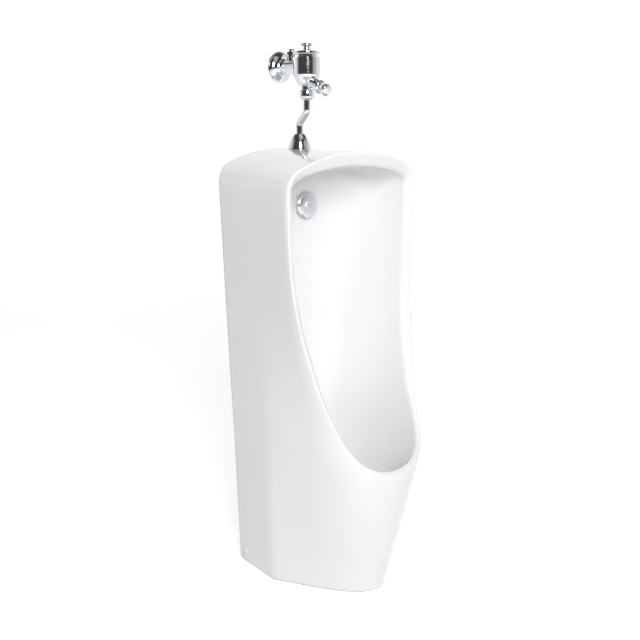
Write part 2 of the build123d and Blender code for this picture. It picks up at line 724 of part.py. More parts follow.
def valve_body():
    """Cast body: barrel, wall-side neck, stop boss and button boss."""
    plane = upright(VALVE_DEPTH)
    r = BODY_R
    body = turned(plane, [(0, NUT_LOW + 5.4), (BODY_TAIL_R, NUT_LOW + 5.4), (BODY_TAIL_R, BODY_LOW),
                          (BODY_NECK_R + 2, BODY_LOW), (BODY_NECK_R + 7, BODY_LOW + 5),
                          (r - 4.5, BODY_LOW + 13), (r - 1.2, BODY_SHOULDER - 3), (r, BODY_SHOULDER + 2),
                          (r, BODY_HIGH), (0, BODY_HIGH)])
    neck = outward(0, INLET_Z)
    boss = upright(STOP_DEPTH)
    button = button_axis()
    body += ring(neck, INLET_NECK_R, 0, NECK_END, VALVE_DEPTH)
    body += ring(boss, STOP_BOSS_R, 0, INLET_Z, STOP_HIGH - 6)
    body += ring(button, BUTTON_NECK_R, 0, 0, BUTTON_BOSS_END)
    body -= ring(plane, BODY_R - BODY_WALL, 0, BODY_CAVITY, BODY_HIGH + 1)
    body -= ring(plane, PIPE_R + 0.3, 0, NUT_LOW, BODY_CAVITY + 1)
    body -= ring(neck, INLET_BORE, 0, NECK_END - 1, VALVE_DEPTH - 10)
    body -= ring(neck, NIPPLE_R + FIT, 0, NECK_END - 1, NECK_END + NIPPLE_IN + 0.2)
    body -= ring(boss, STOP_BORE, 0, INLET_Z, STOP_HIGH)
    body -= ring(button, BUTTON_STEM_R + 0.6, 0, 0, BUTTON_BOSS_END + 1)
    body -= ring(button, BUTTON_BORE, 0, BUTTON_BORE_START, BUTTON_BOSS_END + 1)
    return body


def valve_cap():
    """Domed cap screwed into the top of the barrel."""
    base = BODY_HIGH + CAP_GAP
    top = base + CAP_H
    bore = LIFT_STEM_R + FIT
    inner = BODY_R - BODY_WALL - FIT
    r = BODY_R
    return turned(upright(VALVE_DEPTH), [(bore, base + 2), (inner - 3, base + 2), (inner - 3, base - 9),
                                         (inner, base - 9), (inner, base), (r, base), (r, top - 10),
                                         (r - 2, top - 6), (r - 7, top - 3), (KNOB_NECK_R + 3, top - 1),
                                         (KNOB_NECK_R + 2, top), (bore, top)])


def adjusting_knob():
    """Mushroom knob that sets how long the valve flushes."""
    base = BODY_HIGH + CAP_GAP + CAP_H + LOOSE
    bore = LIFT_STEM_R + FIT
    n = KNOB_NECK_R
    r = KNOB_R
    return turned(upright(VALVE_DEPTH), [(bore, base), (n + 1, base), (n, base + 2), (n, base + 6),
                                         (r - 2, base + 7.5), (r, base + 9), (r, base + 11),
                                         (r - 2, base + 13), (r - 7, base + 14), (0, base + 14.5),
                                         (0, base + 12), (bore, base + 12)])


def lift_stem():
    """Stem under the knob that limits the lift of the piston."""
    return ring(upright(VALVE_DEPTH), LIFT_STEM_R, 0, LIFT_LOW, LIFT_HIGH)


def flush_piston():
    """Piston that opens and closes the flush."""
    r = BODY_R - BODY_WALL - 0.08
    low = PISTON_LOW
    return turned(upright(VALVE_DEPTH), [(RELIEF_R + 0.1, low), (SEAT_R + 5, low), (SEAT_R + 5, low + 3),
                                         (r, low + 3), (r, low + 11), (r - 3, low + 11), (r - 3, low + 8),
                                         (RELIEF_R + 0.1, low + 8)])


def seat_washer():
    return ring(upright(VALVE_DEPTH), SEAT_R + 5, SEAT_R, BODY_CAVITY + FIT, PISTON_LOW - FIT)


def relief_valve():
    """Pin that the button tips to let the piston rise."""
    low = PISTON_LOW
    return turned(upright(VALVE_DEPTH), [(0, BUTTON_Z - 8), (RELIEF_R, BUTTON_Z - 8), (RELIEF_R, low + 8.1),
                                         (RELIEF_R + 4, low + 8.1), (RELIEF_R + 4, low + 10), (0, low + 11)])


def piston_spring():
    return coil(upright(VALVE_DEPTH), 16.0, 0.9, PISTON_LOW + 8.1, BODY_HIGH + 2.0, 4)


def button_bush():
    """Nut that guides the push button."""
    s = BUTTON_BOSS_END
    r = BUTTON_NUT_R
    bore = BUTTON_STEM_R + FIT
    inner = BUTTON_BORE - FIT
    return turned(button_axis(), [(bore, s - 9), (inner, s - 9), (inner, s + LOOSE), (r - 1.5, s + LOOSE),
                                  (r, s + 2), (r, s + 6), (r - 2, s + 8), (BUTTON_STEM_R + 4, s + 9),
                                  (bore, s + 9)])


def button_packing():
    s = BUTTON_BOSS_END - 9
    return ring(button_axis(), BUTTON_BORE - FIT, BUTTON_STEM_R + FIT, s - 3, s - FIT)


def push_button():
    """Mushroom push button with its rod."""
    stem = BUTTON_STEM_R
    tip = BUTTON_TIP
    collar = BUTTON_BOSS_END - 12 - LOOSE
    head = BUTTON_BOSS_END + 9 + BUTTON_TRAVEL + 1
    r = BUTTON_HEAD_R
    return turned(button_axis(), [(0, tip), (stem - 1, tip), (stem, tip + 1), (stem, collar - 2),
                                  (stem + 3, collar - 2), (stem + 3, collar), (stem, collar),
                                  (stem, head - 2), (stem + 3, head), (r - 2, head + 1), (r, head + 3),
                                  (r, head + 6), (r - 2.5, head + 9), (r - 7, head + 11), (0, head + 12)])


def button_spring():
    s = BUTTON_BOSS_END - 14 - LOOSE
    return coil(button_axis(), BUTTON_STEM_R + 1.8, 0.6, BUTTON_BORE_START + 0.1, s - 0.1, 3)


def stop_gland():
    """Gland nut on the stop boss."""
    low = STOP_HIGH - 6 + 0.2
    return hexagon(upright(STOP_DEPTH), STOP_BOSS_R, STOP_STEM_R + FIT, low, low + 6)


def stop_spindle():
    """Slotted spindle turned with a screwdriver to shut off the water."""
    r = STOP_STEM_R
    plug = STOP_PLUG_TOP
    head = STOP_HIGH + 0.5
    high = STOP_HIGH + 6
    spindle = turned(upright(STOP_DEPTH), [(0, plug - 6), (r - 1, plug - 6), (r - 1, plug + 1), (r, plug + 1),
                                           (r, head), (r + 2.5, head), (r + 2.5, high - 1.5), (r + 1, high),
                                           (0, high)])
    slot = upright(STOP_DEPTH, high - 2)
    return spindle - extrude(slot * Rectangle(16, 1.4), 4)


def stop_plug():
    """Plug that the spindle drives down across the inlet."""
    top = STOP_PLUG_TOP
    r = STOP_BORE - FIT
    bore = STOP_STEM_R - 1 + FIT
    return turned(upright(STOP_DEPTH), [(bore, top), (r, top), (r, top - 7.5), (r - 2, top - 9), (0, top - 9),
                                        (0, top - 7), (bore, top - 7)])


def inlet_nut():
    """Back nut between the valve and the wall flange."""
    plane = outward(0, INLET_Z)
    return hexagon(plane, INLET_NECK_R + 2, NIPPLE_R + FIT, FLANGE_DEPTH + LOOSE, NECK_END - 0.2)


def supply_nipple():
    """Supply tube from the wall into the valve."""
    end = NECK_END + NIPPLE_IN
    return turned(outward(0, INLET_Z), [(NIPPLE_BORE, -NIPPLE_PAST_WALL), (THREAD_R - 1, -NIPPLE_PAST_WALL),
                                        (THREAD_R, 1 - NIPPLE_PAST_WALL), (THREAD_R, 0), (NIPPLE_R, 0),
                                        (NIPPLE_R, end), (NIPPLE_BORE, end)])


def wall_flange():
    """Bell-shaped cover plate against the wall."""
    r = FLANGE_R
    n = NIPPLE_R + 0.1
    d = FLANGE_DEPTH
    return turned(outward(0, INLET_Z), [(r, 0.1), (r, 1.5), (r - 2, 4), (r - 7, 8), (r - 13, 12),
                                        (n + 5, d - 1.5), (n + 3, d), (n, d), (n, d - 2),
                                        (n + 3.4, d - 3.5), (r - 15, 10.5), (r - 9, 6.5), (r - 3.6, 2.6),
                                        (r - 1.6, 0.1)])


PARTS = {
    "urinal_body": urinal_body,
    "drain_strainer": drain_strainer,
    "drain_tail": drain_tail,
    "drain_gasket": drain_gasket,
    "drain_nut": drain_nut,
    "trap_body": trap_body,
    "trap_nut": trap_nut,
    "trap_cup": trap_cup,
    "trap_ring": trap_ring,
    "outlet_pipe": outlet_pipe,
    "outlet_collar": outlet_collar,
    "wall_screws": wall_screws,
    "inlet_spud": inlet_spud,
    "spud_washer": spud_washer,
    "spud_gasket": spud_gasket,
    "spud_nut": spud_nut,
    "feed_pipe": feed_pipe,
    "spreader_spud": spreader_spud,
    "spreader_gasket": spreader_gasket,
    "spreader_nut": spreader_nut,
    "spreader_cap": spreader_cap,
    "cone_cover": cone_cover,
    "flush_pipe": flush_pipe,
    "coupling_nut": coupling_nut,
    "coupling_washer": coupling_washer,
    "valve_body": valve_body,
    "valve_cap": valve_cap,
    "adjusting_knob": adjusting_knob,
    "lift_stem": lift_stem,
    "flush_piston": flush_piston,
    "seat_washer": seat_washer,
    "relief_valve": relief_valve,
    "piston_spring": piston_spring,
    "button_bush": button_bush,
    "button_packing": button_packing,
    "push_button": push_button,
    "button_spring": button_spring,
    "stop_gland": stop_gland,
    "stop_spindle": stop_spindle,
    "stop_plug": stop_plug,
    "inlet_nut": inlet_nut,
    "supply_nipple": supply_nipple,
    "wall_flange": wall_flange,
}

PAIRS = {
    "side_bracket": side_bracket,
    "side_screw": side_screw,
    "side_cap": side_cap,
    "wall_hanger": wall_hanger,
}


def main():
    os.makedirs("parts", exist_ok=True)
    made = {name: make() for name, make in PARTS.items()}
    for name, make in PAIRS.items():
        made[name + "_left"] = make(-1)
        made[name + "_right"] = make(1)
    for name, shape in made.items():
        export_step(shape, f"parts/{name}.step")


if __name__ == "__main__":
    main()
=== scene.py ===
"""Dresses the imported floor-standing urinal.

Glazed china, a chromed flush valve and its pipework, brass, rubber and plastic.
"""
import json
import math

import bmesh
import bpy
import numpy as np
from bpy.props import FloatProperty, FloatVectorProperty, PointerProperty, StringProperty
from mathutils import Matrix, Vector


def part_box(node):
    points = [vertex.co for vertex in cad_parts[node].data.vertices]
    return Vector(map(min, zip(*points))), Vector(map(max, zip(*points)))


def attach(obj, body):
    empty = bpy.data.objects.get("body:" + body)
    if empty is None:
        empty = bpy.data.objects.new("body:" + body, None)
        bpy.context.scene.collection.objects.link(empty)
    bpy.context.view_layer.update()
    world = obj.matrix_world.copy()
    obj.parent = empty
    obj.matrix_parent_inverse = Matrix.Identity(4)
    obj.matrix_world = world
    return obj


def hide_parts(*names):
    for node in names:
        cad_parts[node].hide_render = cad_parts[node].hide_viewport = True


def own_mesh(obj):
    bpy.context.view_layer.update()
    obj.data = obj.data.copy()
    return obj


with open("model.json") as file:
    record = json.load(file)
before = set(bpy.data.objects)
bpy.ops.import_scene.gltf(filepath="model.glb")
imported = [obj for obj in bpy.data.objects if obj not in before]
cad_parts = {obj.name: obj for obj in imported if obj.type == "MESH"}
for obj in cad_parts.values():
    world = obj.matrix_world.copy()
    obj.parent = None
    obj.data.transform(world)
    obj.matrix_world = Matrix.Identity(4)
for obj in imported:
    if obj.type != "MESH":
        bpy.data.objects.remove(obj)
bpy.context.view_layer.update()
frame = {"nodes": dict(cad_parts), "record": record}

bl_info = {
    "name": "Floor-standing urinal",
    "version": (1, 0, 0),
    "blender": (4, 5, 0),
    "location": "3D View > Sidebar > Urinal",
    "description": "Dresses a packed floor-standing urinal and its flush valve",
    "category": "Object",
}

MM = 0.001


# Small tools

def linear(hex_colour):
    """sRGB hex to linear RGBA, by the standard two-piece curve."""
    values = [int(hex_colour[i:i + 2], 16) / 255 for i in (1, 3, 5)]
    return [v / 12.92 if v <= 0.04045 else ((v + 0.055) / 1.055) ** 2.4 for v in values] + [1.0]


def add_node(tree, kind, links=(), **settings):
    """Adds one shader node, sets its sockets or attributes, and links (socket, node, output)."""
    node = tree.nodes.new("ShaderNode" + kind)
    for key, value in settings.items():
        if key in node.inputs:
            node.inputs[key].default_value = value
        else:
            setattr(node, key, value)
    for socket, source, output in links:
        tree.links.new(source.outputs[output], node.inputs[socket])
    return node


def empty_tree(owner):
    """The node tree of a material or world, switched on and cleared."""
    owner.use_nodes = True
    owner.node_tree.nodes.clear()
    return owner.node_tree


def make_mesh(name, points, faces, sharp=None):
    """A smooth-shaded mesh object at the origin from arrays of points and faces."""
    mesh = bpy.data.meshes.new(name)
    mesh.from_pydata(points.tolist(), [], faces.tolist())
    mesh.validate()
    mesh.shade_smooth()
    if sharp is not None:
        mesh.set_sharp_from_angle(angle=math.radians(sharp))
    obj = bpy.data.objects.new(name, mesh)
    bpy.context.scene.collection.objects.link(obj)
    return obj


def grid_faces(rows, columns, wrap=False, flip=False):
    """Quads of a grid of points, row after row, whose columns may close on themselves."""
    across = columns if wrap else columns - 1
    r, c = np.meshgrid(np.arange(rows - 1), np.arange(across), indexing="ij")
    n = (c + 1) % columns
    here, next_row = r * columns, (r + 1) * columns
    quads = np.stack([here + c, here + n, next_row + n, next_row + c], -1).reshape(-1, 4)
    return quads[:, ::-1] if flip else quads


def ring_faces(rows, columns):
    """Quads of a grid that closes on itself both ways."""
    last = grid_faces(2, columns, wrap=True)
    last = np.where(last >= columns, last - columns, last + (rows - 1) * columns)
    return np.concatenate([grid_faces(rows, columns, wrap=True), last])


def hermite(x, xs, ys):
    """Smooth curve through points: cubic pieces whose slopes are the means of their neighbours'."""
    step = np.diff(ys) / np.diff(xs)
    slope = np.concatenate([step[:1], (step[1:] + step[:-1]) / 2, step[-1:]])
    i = np.clip(np.searchsorted(xs, x) - 1, 0, len(xs) - 2)
    h = xs[i + 1] - xs[i]
    t = np.clip((x - xs[i]) / h, 0, 1)
    a = (1 + 2 * t) * (1 - t) ** 2
    b = t * (1 - t) ** 2
    c = t * t * (1 - t)
    return a * ys[i] + b * h * slope[i] + (1 - a) * ys[i + 1] - c * h * slope[i + 1]


def bezier2(a, b, c, t):
    """Quadratic curve from a to c that leaves and arrives along its control b."""
    return (1 - t) ** 2 * a + 2 * t * (1 - t) * b + t * t * c


def bezier3(a, b, c, d, t):
    """Cubic curve from a to d with the two controls b and c."""
    s = 1 - t
    return s ** 3 * a + 3 * s * s * t * b + 3 * s * t * t * c + t ** 3 * d


def even(points, count):
    """Places along a dense curve, as fractions of its parameter, evenly spaced by length."""
    step = np.linalg.norm(np.diff(points, axis=0), axis=1)
    length = np.concatenate([[0], np.cumsum(step)])
    wanted = np.linspace(0, 1, count) * length[-1]
    return np.interp(wanted, length, np.linspace(0, 1, len(points)))


# The china: the outside, the rim and the bowl as functions of two parameters

# All in millimetres: levels of the outside, and at each the half widths and depths of its plan
FOOT_TO_ROOF = np.array([0.0, 240.0, 325.0, 400.0, 512.0, 630.0, 760.0, 990.0])
REAR_HALF = np.array([137.0, 145.4, 148.4, 152.0, 157.0, 162.0, 167.0, 176.0])
CREASE_HALF = np.array([146.0, 152.7, 155.2, 158.0, 162.0, 167.0, 174.0, 184.0])
CORNER_HALF = np.array([66.0, 109.8, 123.8, 132.0, 157.0, 176.0, 188.0, 190.0])
CORNER_DEPTH = np.array([282.0, 329.2, 341.0, 334.0, 312.0, 286.0, 270.0, 266.0])
NOSE_DEPTH = np.array([327.0, 381.7, 393.0, 378.0, 350.0, 312.0, 286.0, 280.0])
CORNER_SHARE = np.array([0.50, 0.45, 0.44, 0.44, 0.42, 0.40, 0.36, 0.34])
CREASE_DEPTH = 127.0

# Levels of the rim and how far it stands out from the wall
RIM_Z = np.array([284.0, 320.0, 358.0, 401.0, 453.0, 512.0, 570.0, 629.0, 690.0, 760.0, 1000.0])
RIM_DEPTH = np.array([383.0, 352.0, 328.0, 306.0, 287.0, 270.0, 256.0, 245.0, 238.0, 236.0,
                      238.0])

# Levels of the bowl, its half width, and the depths of its back, its widest place and its front
BOWL_Z = np.array([140.0, 178.0, 284.0, 400.0, 520.0, 640.0, 760.0, 990.0])
BOWL_HALF = np.array([52.0, 80.0, 101.0, 116.0, 134.0, 152.0, 163.0, 165.0])
BOWL_BACK = np.array([138.0, 114.0, 94.0, 86.0, 82.0, 80.0, 80.0, 80.0])
BOWL_WIDE = np.array([190.0, 205.0, 240.0, 262.0, 255.0, 240.0, 235.0, 235.0])
BOWL_FRONT = np.array([246.0, 306.0, 352.0, 440.0, 460.0, 460.0, 460.0, 460.0])

HEIGHT = 950.0
ROOF_DROP = 24.0
ROOF_SPAN = 140.0
ROOF_FALL = 50.0
BOWL_TOP = 918.0
BOWL_DROP = 12.0
BOWL_SPAN = 120.0
BOWL_FALL = 34.0
MOUTH_HALF = 163.0
MOUTH_DEPTH = 222.0
BOWL_SIDE = 168.0
BOWL_CORNER_R = 58.0

# Pull of a shoulder's controls, and the crease's rounding: at the foot, its gain and its last level
SHOULDER_REACH = 0.55
SHOULDER_SINK = 0.38
FOOT_ROUND = 10.0
ROUND_GAIN = 16
ROUND_LEVEL = 900

# Where the parts of the outside's half plan end: the nose, front corner, side and crease
NOSE_END, CORNER_END, SIDE_END, CREASE_END = 0.16, 0.46, 0.66, 0.74
MIRROR = np.array([-1.0, 1.0])

# Pull of the controls of the bowl's half plan, in front of and behind its widest place
FRONT_PULL = 0.6
BACK_PULL = 0.62
BACK_LIFT = 0.38

# In the bowl the rim lies up to this much nearer the wall, growing from a level over a run
BAND_DEPTH = 15.0
BAND_FROM = 300
BAND_RUN = 150

# Where the rim is looked for, outside and in the bowl: levels of its front, then last parameters
NOSE_SEARCH = (260.0, 340.0)
LIP_SEARCH = (280.0, 360.0)
OUTER_LIMIT = 0.7
INNER_LIMIT = 0.75

# Columns of the bowl: how they bend under the arch and slant back down the wall
KNEE_LEVEL = 900.0
BEND_SHARE = 0.8
CURVE_LENGTH = 1.5
SLANT_POWER = 0.7
COLUMN_LAG = 0.4

# Grid of the china's half: columns at the side and the arch, and rows from the back to the drain
SIDE_COLUMNS = 96
ARCH_COLUMNS = 44
OUTER_ROWS = 74
ROUND_ROWS = 8
BOWL_ROWS = 66
FLOOR_ROWS = 8
RIM_ROW = OUTER_ROWS - 1 + ROUND_ROWS
DENSE = 1500
FOOT_SHARE = 0.27
OUTER_CROWD = 1.15
BOWL_CROWD = 1.1
CORNER_LIMIT = 0.45

# Thickness as a share of the skin: between outside and bowl, and round the rim
THIN_SHARE = 0.26
RIM_SHARE = 0.06
RIM_ROWS = 14
RIM_BLEND = 12
BACK_ROWS = 12
BACK_BLEND = 14


def outline(a, z, crease_round):
    """Half plan outline of the outside, from the nose, a = 0, round to the wall, a = 1.

    It is the polygon wall corner, crease, front corner, nose, with a quadratic curve that starts
    on the polygon's sides at the nose and the front corner, and a small one at the crease.
    """
    pair = lambda x, y: np.stack(np.broadcast_arrays(x, y), -1)
    rear = pair(hermite(z, FOOT_TO_ROOF, REAR_HALF), 0.0)
    crease = pair(hermite(z, FOOT_TO_ROOF, CREASE_HALF), -CREASE_DEPTH)
    corner = pair(hermite(z, FOOT_TO_ROOF, CORNER_HALF),
                  -hermite(z, FOOT_TO_ROOF, CORNER_DEPTH))
    nose = pair(0.0, -hermite(z, FOOT_TO_ROOF, NOSE_DEPTH))
    share = hermite(z, FOOT_TO_ROOF, CORNER_SHARE)[..., None]
    side = corner + (crease - corner) * share
    front = (corner + nose) / 2
    cut = lambda p, q: p + (q - p) * (crease_round / np.linalg.norm(q - p, axis=-1))[..., None]
    before, after = cut(crease, side), cut(crease, rear)
    a = a[..., None]
    u = lambda lo, hi: np.clip((a - lo) / (hi - lo), 0, 1)
    nose_part = bezier2(front * MIRROR, nose, front, 0.5 + 0.5 * u(0.0, NOSE_END))
    corner_part = bezier2(front, corner, side, u(NOSE_END, CORNER_END))
    side_part = side + (before - side) * u(CORNER_END, SIDE_END)
    crease_part = bezier2(before, crease, after, u(SIDE_END, CREASE_END))
    rear_part = after + (rear - after) * u(CREASE_END, 1.0)
    point = np.where(a < NOSE_END, nose_part, np.where(a < CORNER_END, corner_part, side_part))
    rest = np.where(a < CREASE_END, crease_part, rear_part)
    return np.where(a < SIDE_END, point, rest)


def arch_of(span, drop):
    """Radius of an arch that falls by drop over half its span, and its slope at that end."""
    return (span ** 2 + drop ** 2) / (2 * drop), math.tan(2 * math.atan(drop / span))


def shoulder(x, z_top, drop, span, half, fall):
    """Height of an arched roof over x: an arc up to the span, then a rounded shoulder."""
    radius, slope = arch_of(span, drop)
    reach = SHOULDER_REACH * (half - span)
    t = np.linspace(0, 1, 200)
    low = z_top - drop
    bx = bezier3(span, span + reach, half, half, t)
    bz = bezier3(low, low - reach * slope, low - SHOULDER_SINK * fall, low - fall, t)
    x = np.abs(x)
    arc = z_top - radius + np.sqrt(np.maximum(radius ** 2 - x ** 2, 0))
    return np.where(x <= span, arc, np.interp(x, bx, bz))


SIDE_TOP = HEIGHT - ROOF_DROP - ROOF_FALL
SHOULDER_RUN = 70.0
ARCH_RUN = 145.0
ROOF_END = SIDE_TOP + SHOULDER_RUN + ARCH_RUN


def outside(a, p):
    """The outside: a as in outline, p the height up to the shoulder and then the way to the crown.

    The shoulder is a cubic curve from the side to the arch, and the arch is an arc of a circle.
    """
    z = np.minimum(p, SIDE_TOP)
    plan = outline(a, z, FOOT_ROUND + ROUND_GAIN * np.clip(p / ROUND_LEVEL, 0, 1))
    half = plan[..., 0]
    low = HEIGHT - ROOF_DROP
    radius, slope = arch_of(ROOF_SPAN, ROOF_DROP)
    reach = SHOULDER_REACH * (half - ROOF_SPAN)
    t = np.clip((p - SIDE_TOP) / SHOULDER_RUN, 0, 1)
    bx = bezier3(half, half, ROOF_SPAN + reach, ROOF_SPAN, t)
    bz = bezier3(low - ROOF_FALL, low - SHOULDER_SINK * ROOF_FALL, low - reach * slope, low, t)
    way = np.clip((p - SIDE_TOP - SHOULDER_RUN) / ARCH_RUN, 0, 1)
    angle = np.arcsin(ROOF_SPAN / radius) * (1 - way)
    ax = radius * np.sin(angle)
    az = HEIGHT - radius + radius * np.cos(angle)
    over = p > SIDE_TOP + SHOULDER_RUN
    x = np.where(p <= SIDE_TOP, half, np.where(over, ax, bx))
    level = np.where(p <= SIDE_TOP, z, np.where(over, az, bz))
    return np.stack([x, plan[..., 1], level], -1)


def bowl_outline(b, z):
    """Half plan outline of the bowl, from the middle of its front, b = 0, to the back, b = 1.

    It is two cubic curves that meet at the widest place, b = 0.5.
    """
    half = hermite(z, BOWL_Z, BOWL_HALF)
    back = -hermite(z, BOWL_Z, BOWL_BACK)
    wide = -hermite(z, BOWL_Z, BOWL_WIDE)
    front = -hermite(z, BOWL_Z, BOWL_FRONT)
    s = np.clip(b * 2, 0, 1)
    t = np.clip(b * 2 - 1, 0, 1)
    fx = bezier3(0.0, half * FRONT_PULL, half, half, s)
    fy = bezier3(front, front, wide + (front - wide) * FRONT_PULL, wide, s)
    kx = bezier3(half, half, half * BACK_PULL, 0.0, t)
    ky = bezier3(wide, back + (wide - back) * BACK_LIFT, back, back, t)
    return np.where(b < 0.5, fx, kx), np.where(b < 0.5, fy, ky)


def bisect(test, low, high, rounds=40):
    """Where a rising array test turns positive, by halving."""
    low = np.array(low, float)
    high = np.array(high, float)
    for _ in range(rounds):
        mid = (low + high) / 2
        up = test(mid) > 0
        high = np.where(up, mid, high)
        low = np.where(up, low, mid)
    return (low + high) / 2


def roof_of_bowl(x):
    """Height of the bowl's roof over x."""
    return shoulder(x, BOWL_TOP, BOWL_DROP, BOWL_SPAN, BOWL_SIDE, BOWL_FALL)


def inside(s, rim_b, rim_z, foot_b, arch, mouth_x):
    """Columns of the bowl, from the rim, s = 0, to the foot of its wall, s = 1, by length.

    A column under the arch runs back along the roof, turns down into the wall in a quadratic curve
    and goes on as the wall. A column at the side starts on the wall. Down the wall the place round
    the bowl moves back from rim_b to foot_b by a power of the way down, so that it leaves the rim
    at a slant.
    """
    top_x, top_y = bowl_outline(rim_b, np.full_like(rim_b, KNEE_LEVEL))
    knee = np.stack([top_x, top_y, roof_of_bowl(top_x)], -1)
    mouth = np.stack([mouth_x, np.full_like(mouth_x, -MOUTH_DEPTH), roof_of_bowl(mouth_x)], -1)
    run = mouth - knee
    length = np.maximum(np.linalg.norm(run, axis=-1), 1e-6)
    bend = np.where(arch, np.minimum(BOWL_CORNER_R, BEND_SHARE * length), 0.0)
    low_z = np.where(arch, knee[:, 2] - bend, rim_z)
    first = np.where(arch, length - bend, 0.0)
    second = CURVE_LENGTH * bend
    wall = low_z - BOWL_Z[0]
    total = first + second + wall
    d = s * total
    ahead = knee + run * (bend / length)[:, None]
    foot = np.stack(bowl_outline(rim_b, low_z) + (low_z,), -1)
    share = lambda lo, over: np.clip((d - lo) / np.maximum(over, 1e-6), 0, 1)[..., None]
    roof = mouth + (ahead - mouth) * share(0.0, first)
    curve = bezier2(ahead, knee, foot, share(first, second))
    down = share(first + second, wall)[..., 0]
    z = low_z - wall * down
    x, y = bowl_outline(rim_b + (foot_b - rim_b) * down ** SLANT_POWER, z)
    side = np.stack(np.broadcast_arrays(x, y, z), -1)
    below = np.where((d < first + second)[..., None], curve, side)
    return np.where((d < first)[..., None], roof, below), total


def rim_outside():
    """Where each column crosses the rim on the outside, as the two parameters of outside.

    There the outside is as deep as RIM_DEPTH says. Over the arch the first one stays as it is.
    """
    miss = lambda a, z: outline(a, z, FOOT_ROUND)[..., 1] + hermite(z, RIM_Z, RIM_DEPTH)
    low = bisect(lambda z: -miss(np.zeros_like(z), z), *NOSE_SEARCH)

    def places(w):
        p = low + (SIDE_TOP - low) * w ** 2
        a = bisect(lambda m: miss(m, p), np.zeros_like(p), np.full_like(p, OUTER_LIMIT))
        a[0] = 0
        return a, p

    a, p = places(even(outside(*places(np.linspace(0, 1, DENSE))), SIDE_COLUMNS))
    arch_p = SIDE_TOP + (ROOF_END - SIDE_TOP) * np.linspace(0, 1, ARCH_COLUMNS + 1)[1:]
    return np.concatenate([a, np.full(ARCH_COLUMNS, a[-1])]), np.concatenate([p, arch_p])


def rim_inside():
    """Where each column crosses the rim on the bowl's side: place round the bowl, and height."""
    depth = lambda z: hermite(z, RIM_Z, RIM_DEPTH) \
        - BAND_DEPTH * np.clip((z - BAND_FROM) / BAND_RUN, 0, 1)
    miss = lambda b, z: bowl_outline(b, z)[1] + depth(z)
    lip = bisect(lambda z: -miss(np.zeros_like(z), z), *LIP_SEARCH)
    corner_z = float(roof_of_bowl(MOUTH_HALF))

    def places(w):
        z = lip + (corner_z - lip) * w ** 2
        b = bisect(lambda m: miss(m, z), np.zeros_like(z), np.full_like(z, INNER_LIMIT))
        b[0] = 0
        return b, z

    b, z = places(np.linspace(0, 1, DENSE))
    b, z = places(even(np.stack(bowl_outline(b, z) + (z,), -1), SIDE_COLUMNS))
    arch_b = b[-1] + (1 - b[-1]) * np.linspace(0, 1, ARCH_COLUMNS + 1)[1:]
    return np.concatenate([b, arch_b]), np.concatenate([z, np.full(ARCH_COLUMNS, corner_z)])


def china_grid(rim_round, band_round):
    """Half of the china as a grid: columns from the back edge over the rim to the drain."""
    n = SIDE_COLUMNS + ARCH_COLUMNS
    column = np.arange(n)
    out_a, out_p = rim_outside()
    rim_b, rim_z = rim_inside()
    corner_b = rim_b[SIDE_COLUMNS - 1]
    corner = bowl_outline(np.array([corner_b]), rim_z[-1:])[0][0]
    mouth_x = corner * np.clip((1 - rim_b) / (1 - corner_b), 0, 1)
    lag = COLUMN_LAG * np.minimum(column / (SIDE_COLUMNS - 1), 1)
    foot_b = 1 - (1 - rim_b) * (1 - lag)
    bowl = lambda s: inside(s, rim_b, rim_z, foot_b, column >= SIDE_COLUMNS, mouth_x)
    rim_out = outside(out_a, out_p)
    rim_in, reach = bowl(np.zeros(n))
    # far ends of the columns: first along the foot, then up the edge at the wall
    far = np.linspace(0, 1, n)
    end_a = np.clip(far / FOOT_SHARE, 0, 1)
    lift = np.clip((far - FOOT_SHARE) / (1 - FOOT_SHARE), 0, 1)
    last = SIDE_COLUMNS - 1
    end_p = np.where(column >= last, out_p, out_p[last] * np.clip(lift / lift[last], 0, 1))
    # outer part, from the edge to just short of the rim
    start = np.linalg.norm(outside(end_a, end_p) - rim_out, axis=-1)
    near = rim_round / np.maximum(start, 1)
    s = near + (1 - near) * np.linspace(1, 0, OUTER_ROWS)[:, None] ** OUTER_CROWD
    outer = outside(out_a + (end_a - out_a) * s, out_p + (end_p - out_p) * s)
    # bowl, from just behind the rim to the foot of its wall
    close = band_round / np.maximum(reach, 1)
    bowl_part = bowl(close + (1 - close) * np.linspace(0, 1, BOWL_ROWS)[:, None] ** BOWL_CROWD)[0]
    # rounded corners and the band between them
    band = rim_in - rim_out
    width = np.linalg.norm(band, axis=-1, keepdims=True)
    one = rim_out + band * np.minimum(rim_round / width, CORNER_LIMIT)
    two = rim_in - band * np.minimum(band_round / width, CORNER_LIMIT)
    k = np.linspace(0, 1, ROUND_ROWS)[:, None, None]
    first = bezier2(outer[-1], rim_out, one, k)
    second = bezier2(two, rim_in, bowl_part[0], k)
    return np.concatenate([outer[:-1], first, second, bowl_part[1:]])


DRAIN_CENTRE = (0.0, -190.0)
DRAIN_HOLE = 29.0
FLOOR_FALL = 0.3


def floor_rows(edge):
    """Rows from the foot of the bowl's wall in to the drain hole, at an even slope."""
    angle = np.arctan2(edge[:, 1] - DRAIN_CENTRE[1], edge[:, 0] - DRAIN_CENTRE[0])
    hole = np.stack([DRAIN_HOLE * np.cos(angle), DRAIN_CENTRE[1] + DRAIN_HOLE * np.sin(angle),
                     np.full_like(angle, BOWL_Z[0] - FLOOR_FALL)], -1)
    t = np.linspace(0, 1, FLOOR_ROWS + 1)[1:, None, None]
    return edge + (hole - edge) * t


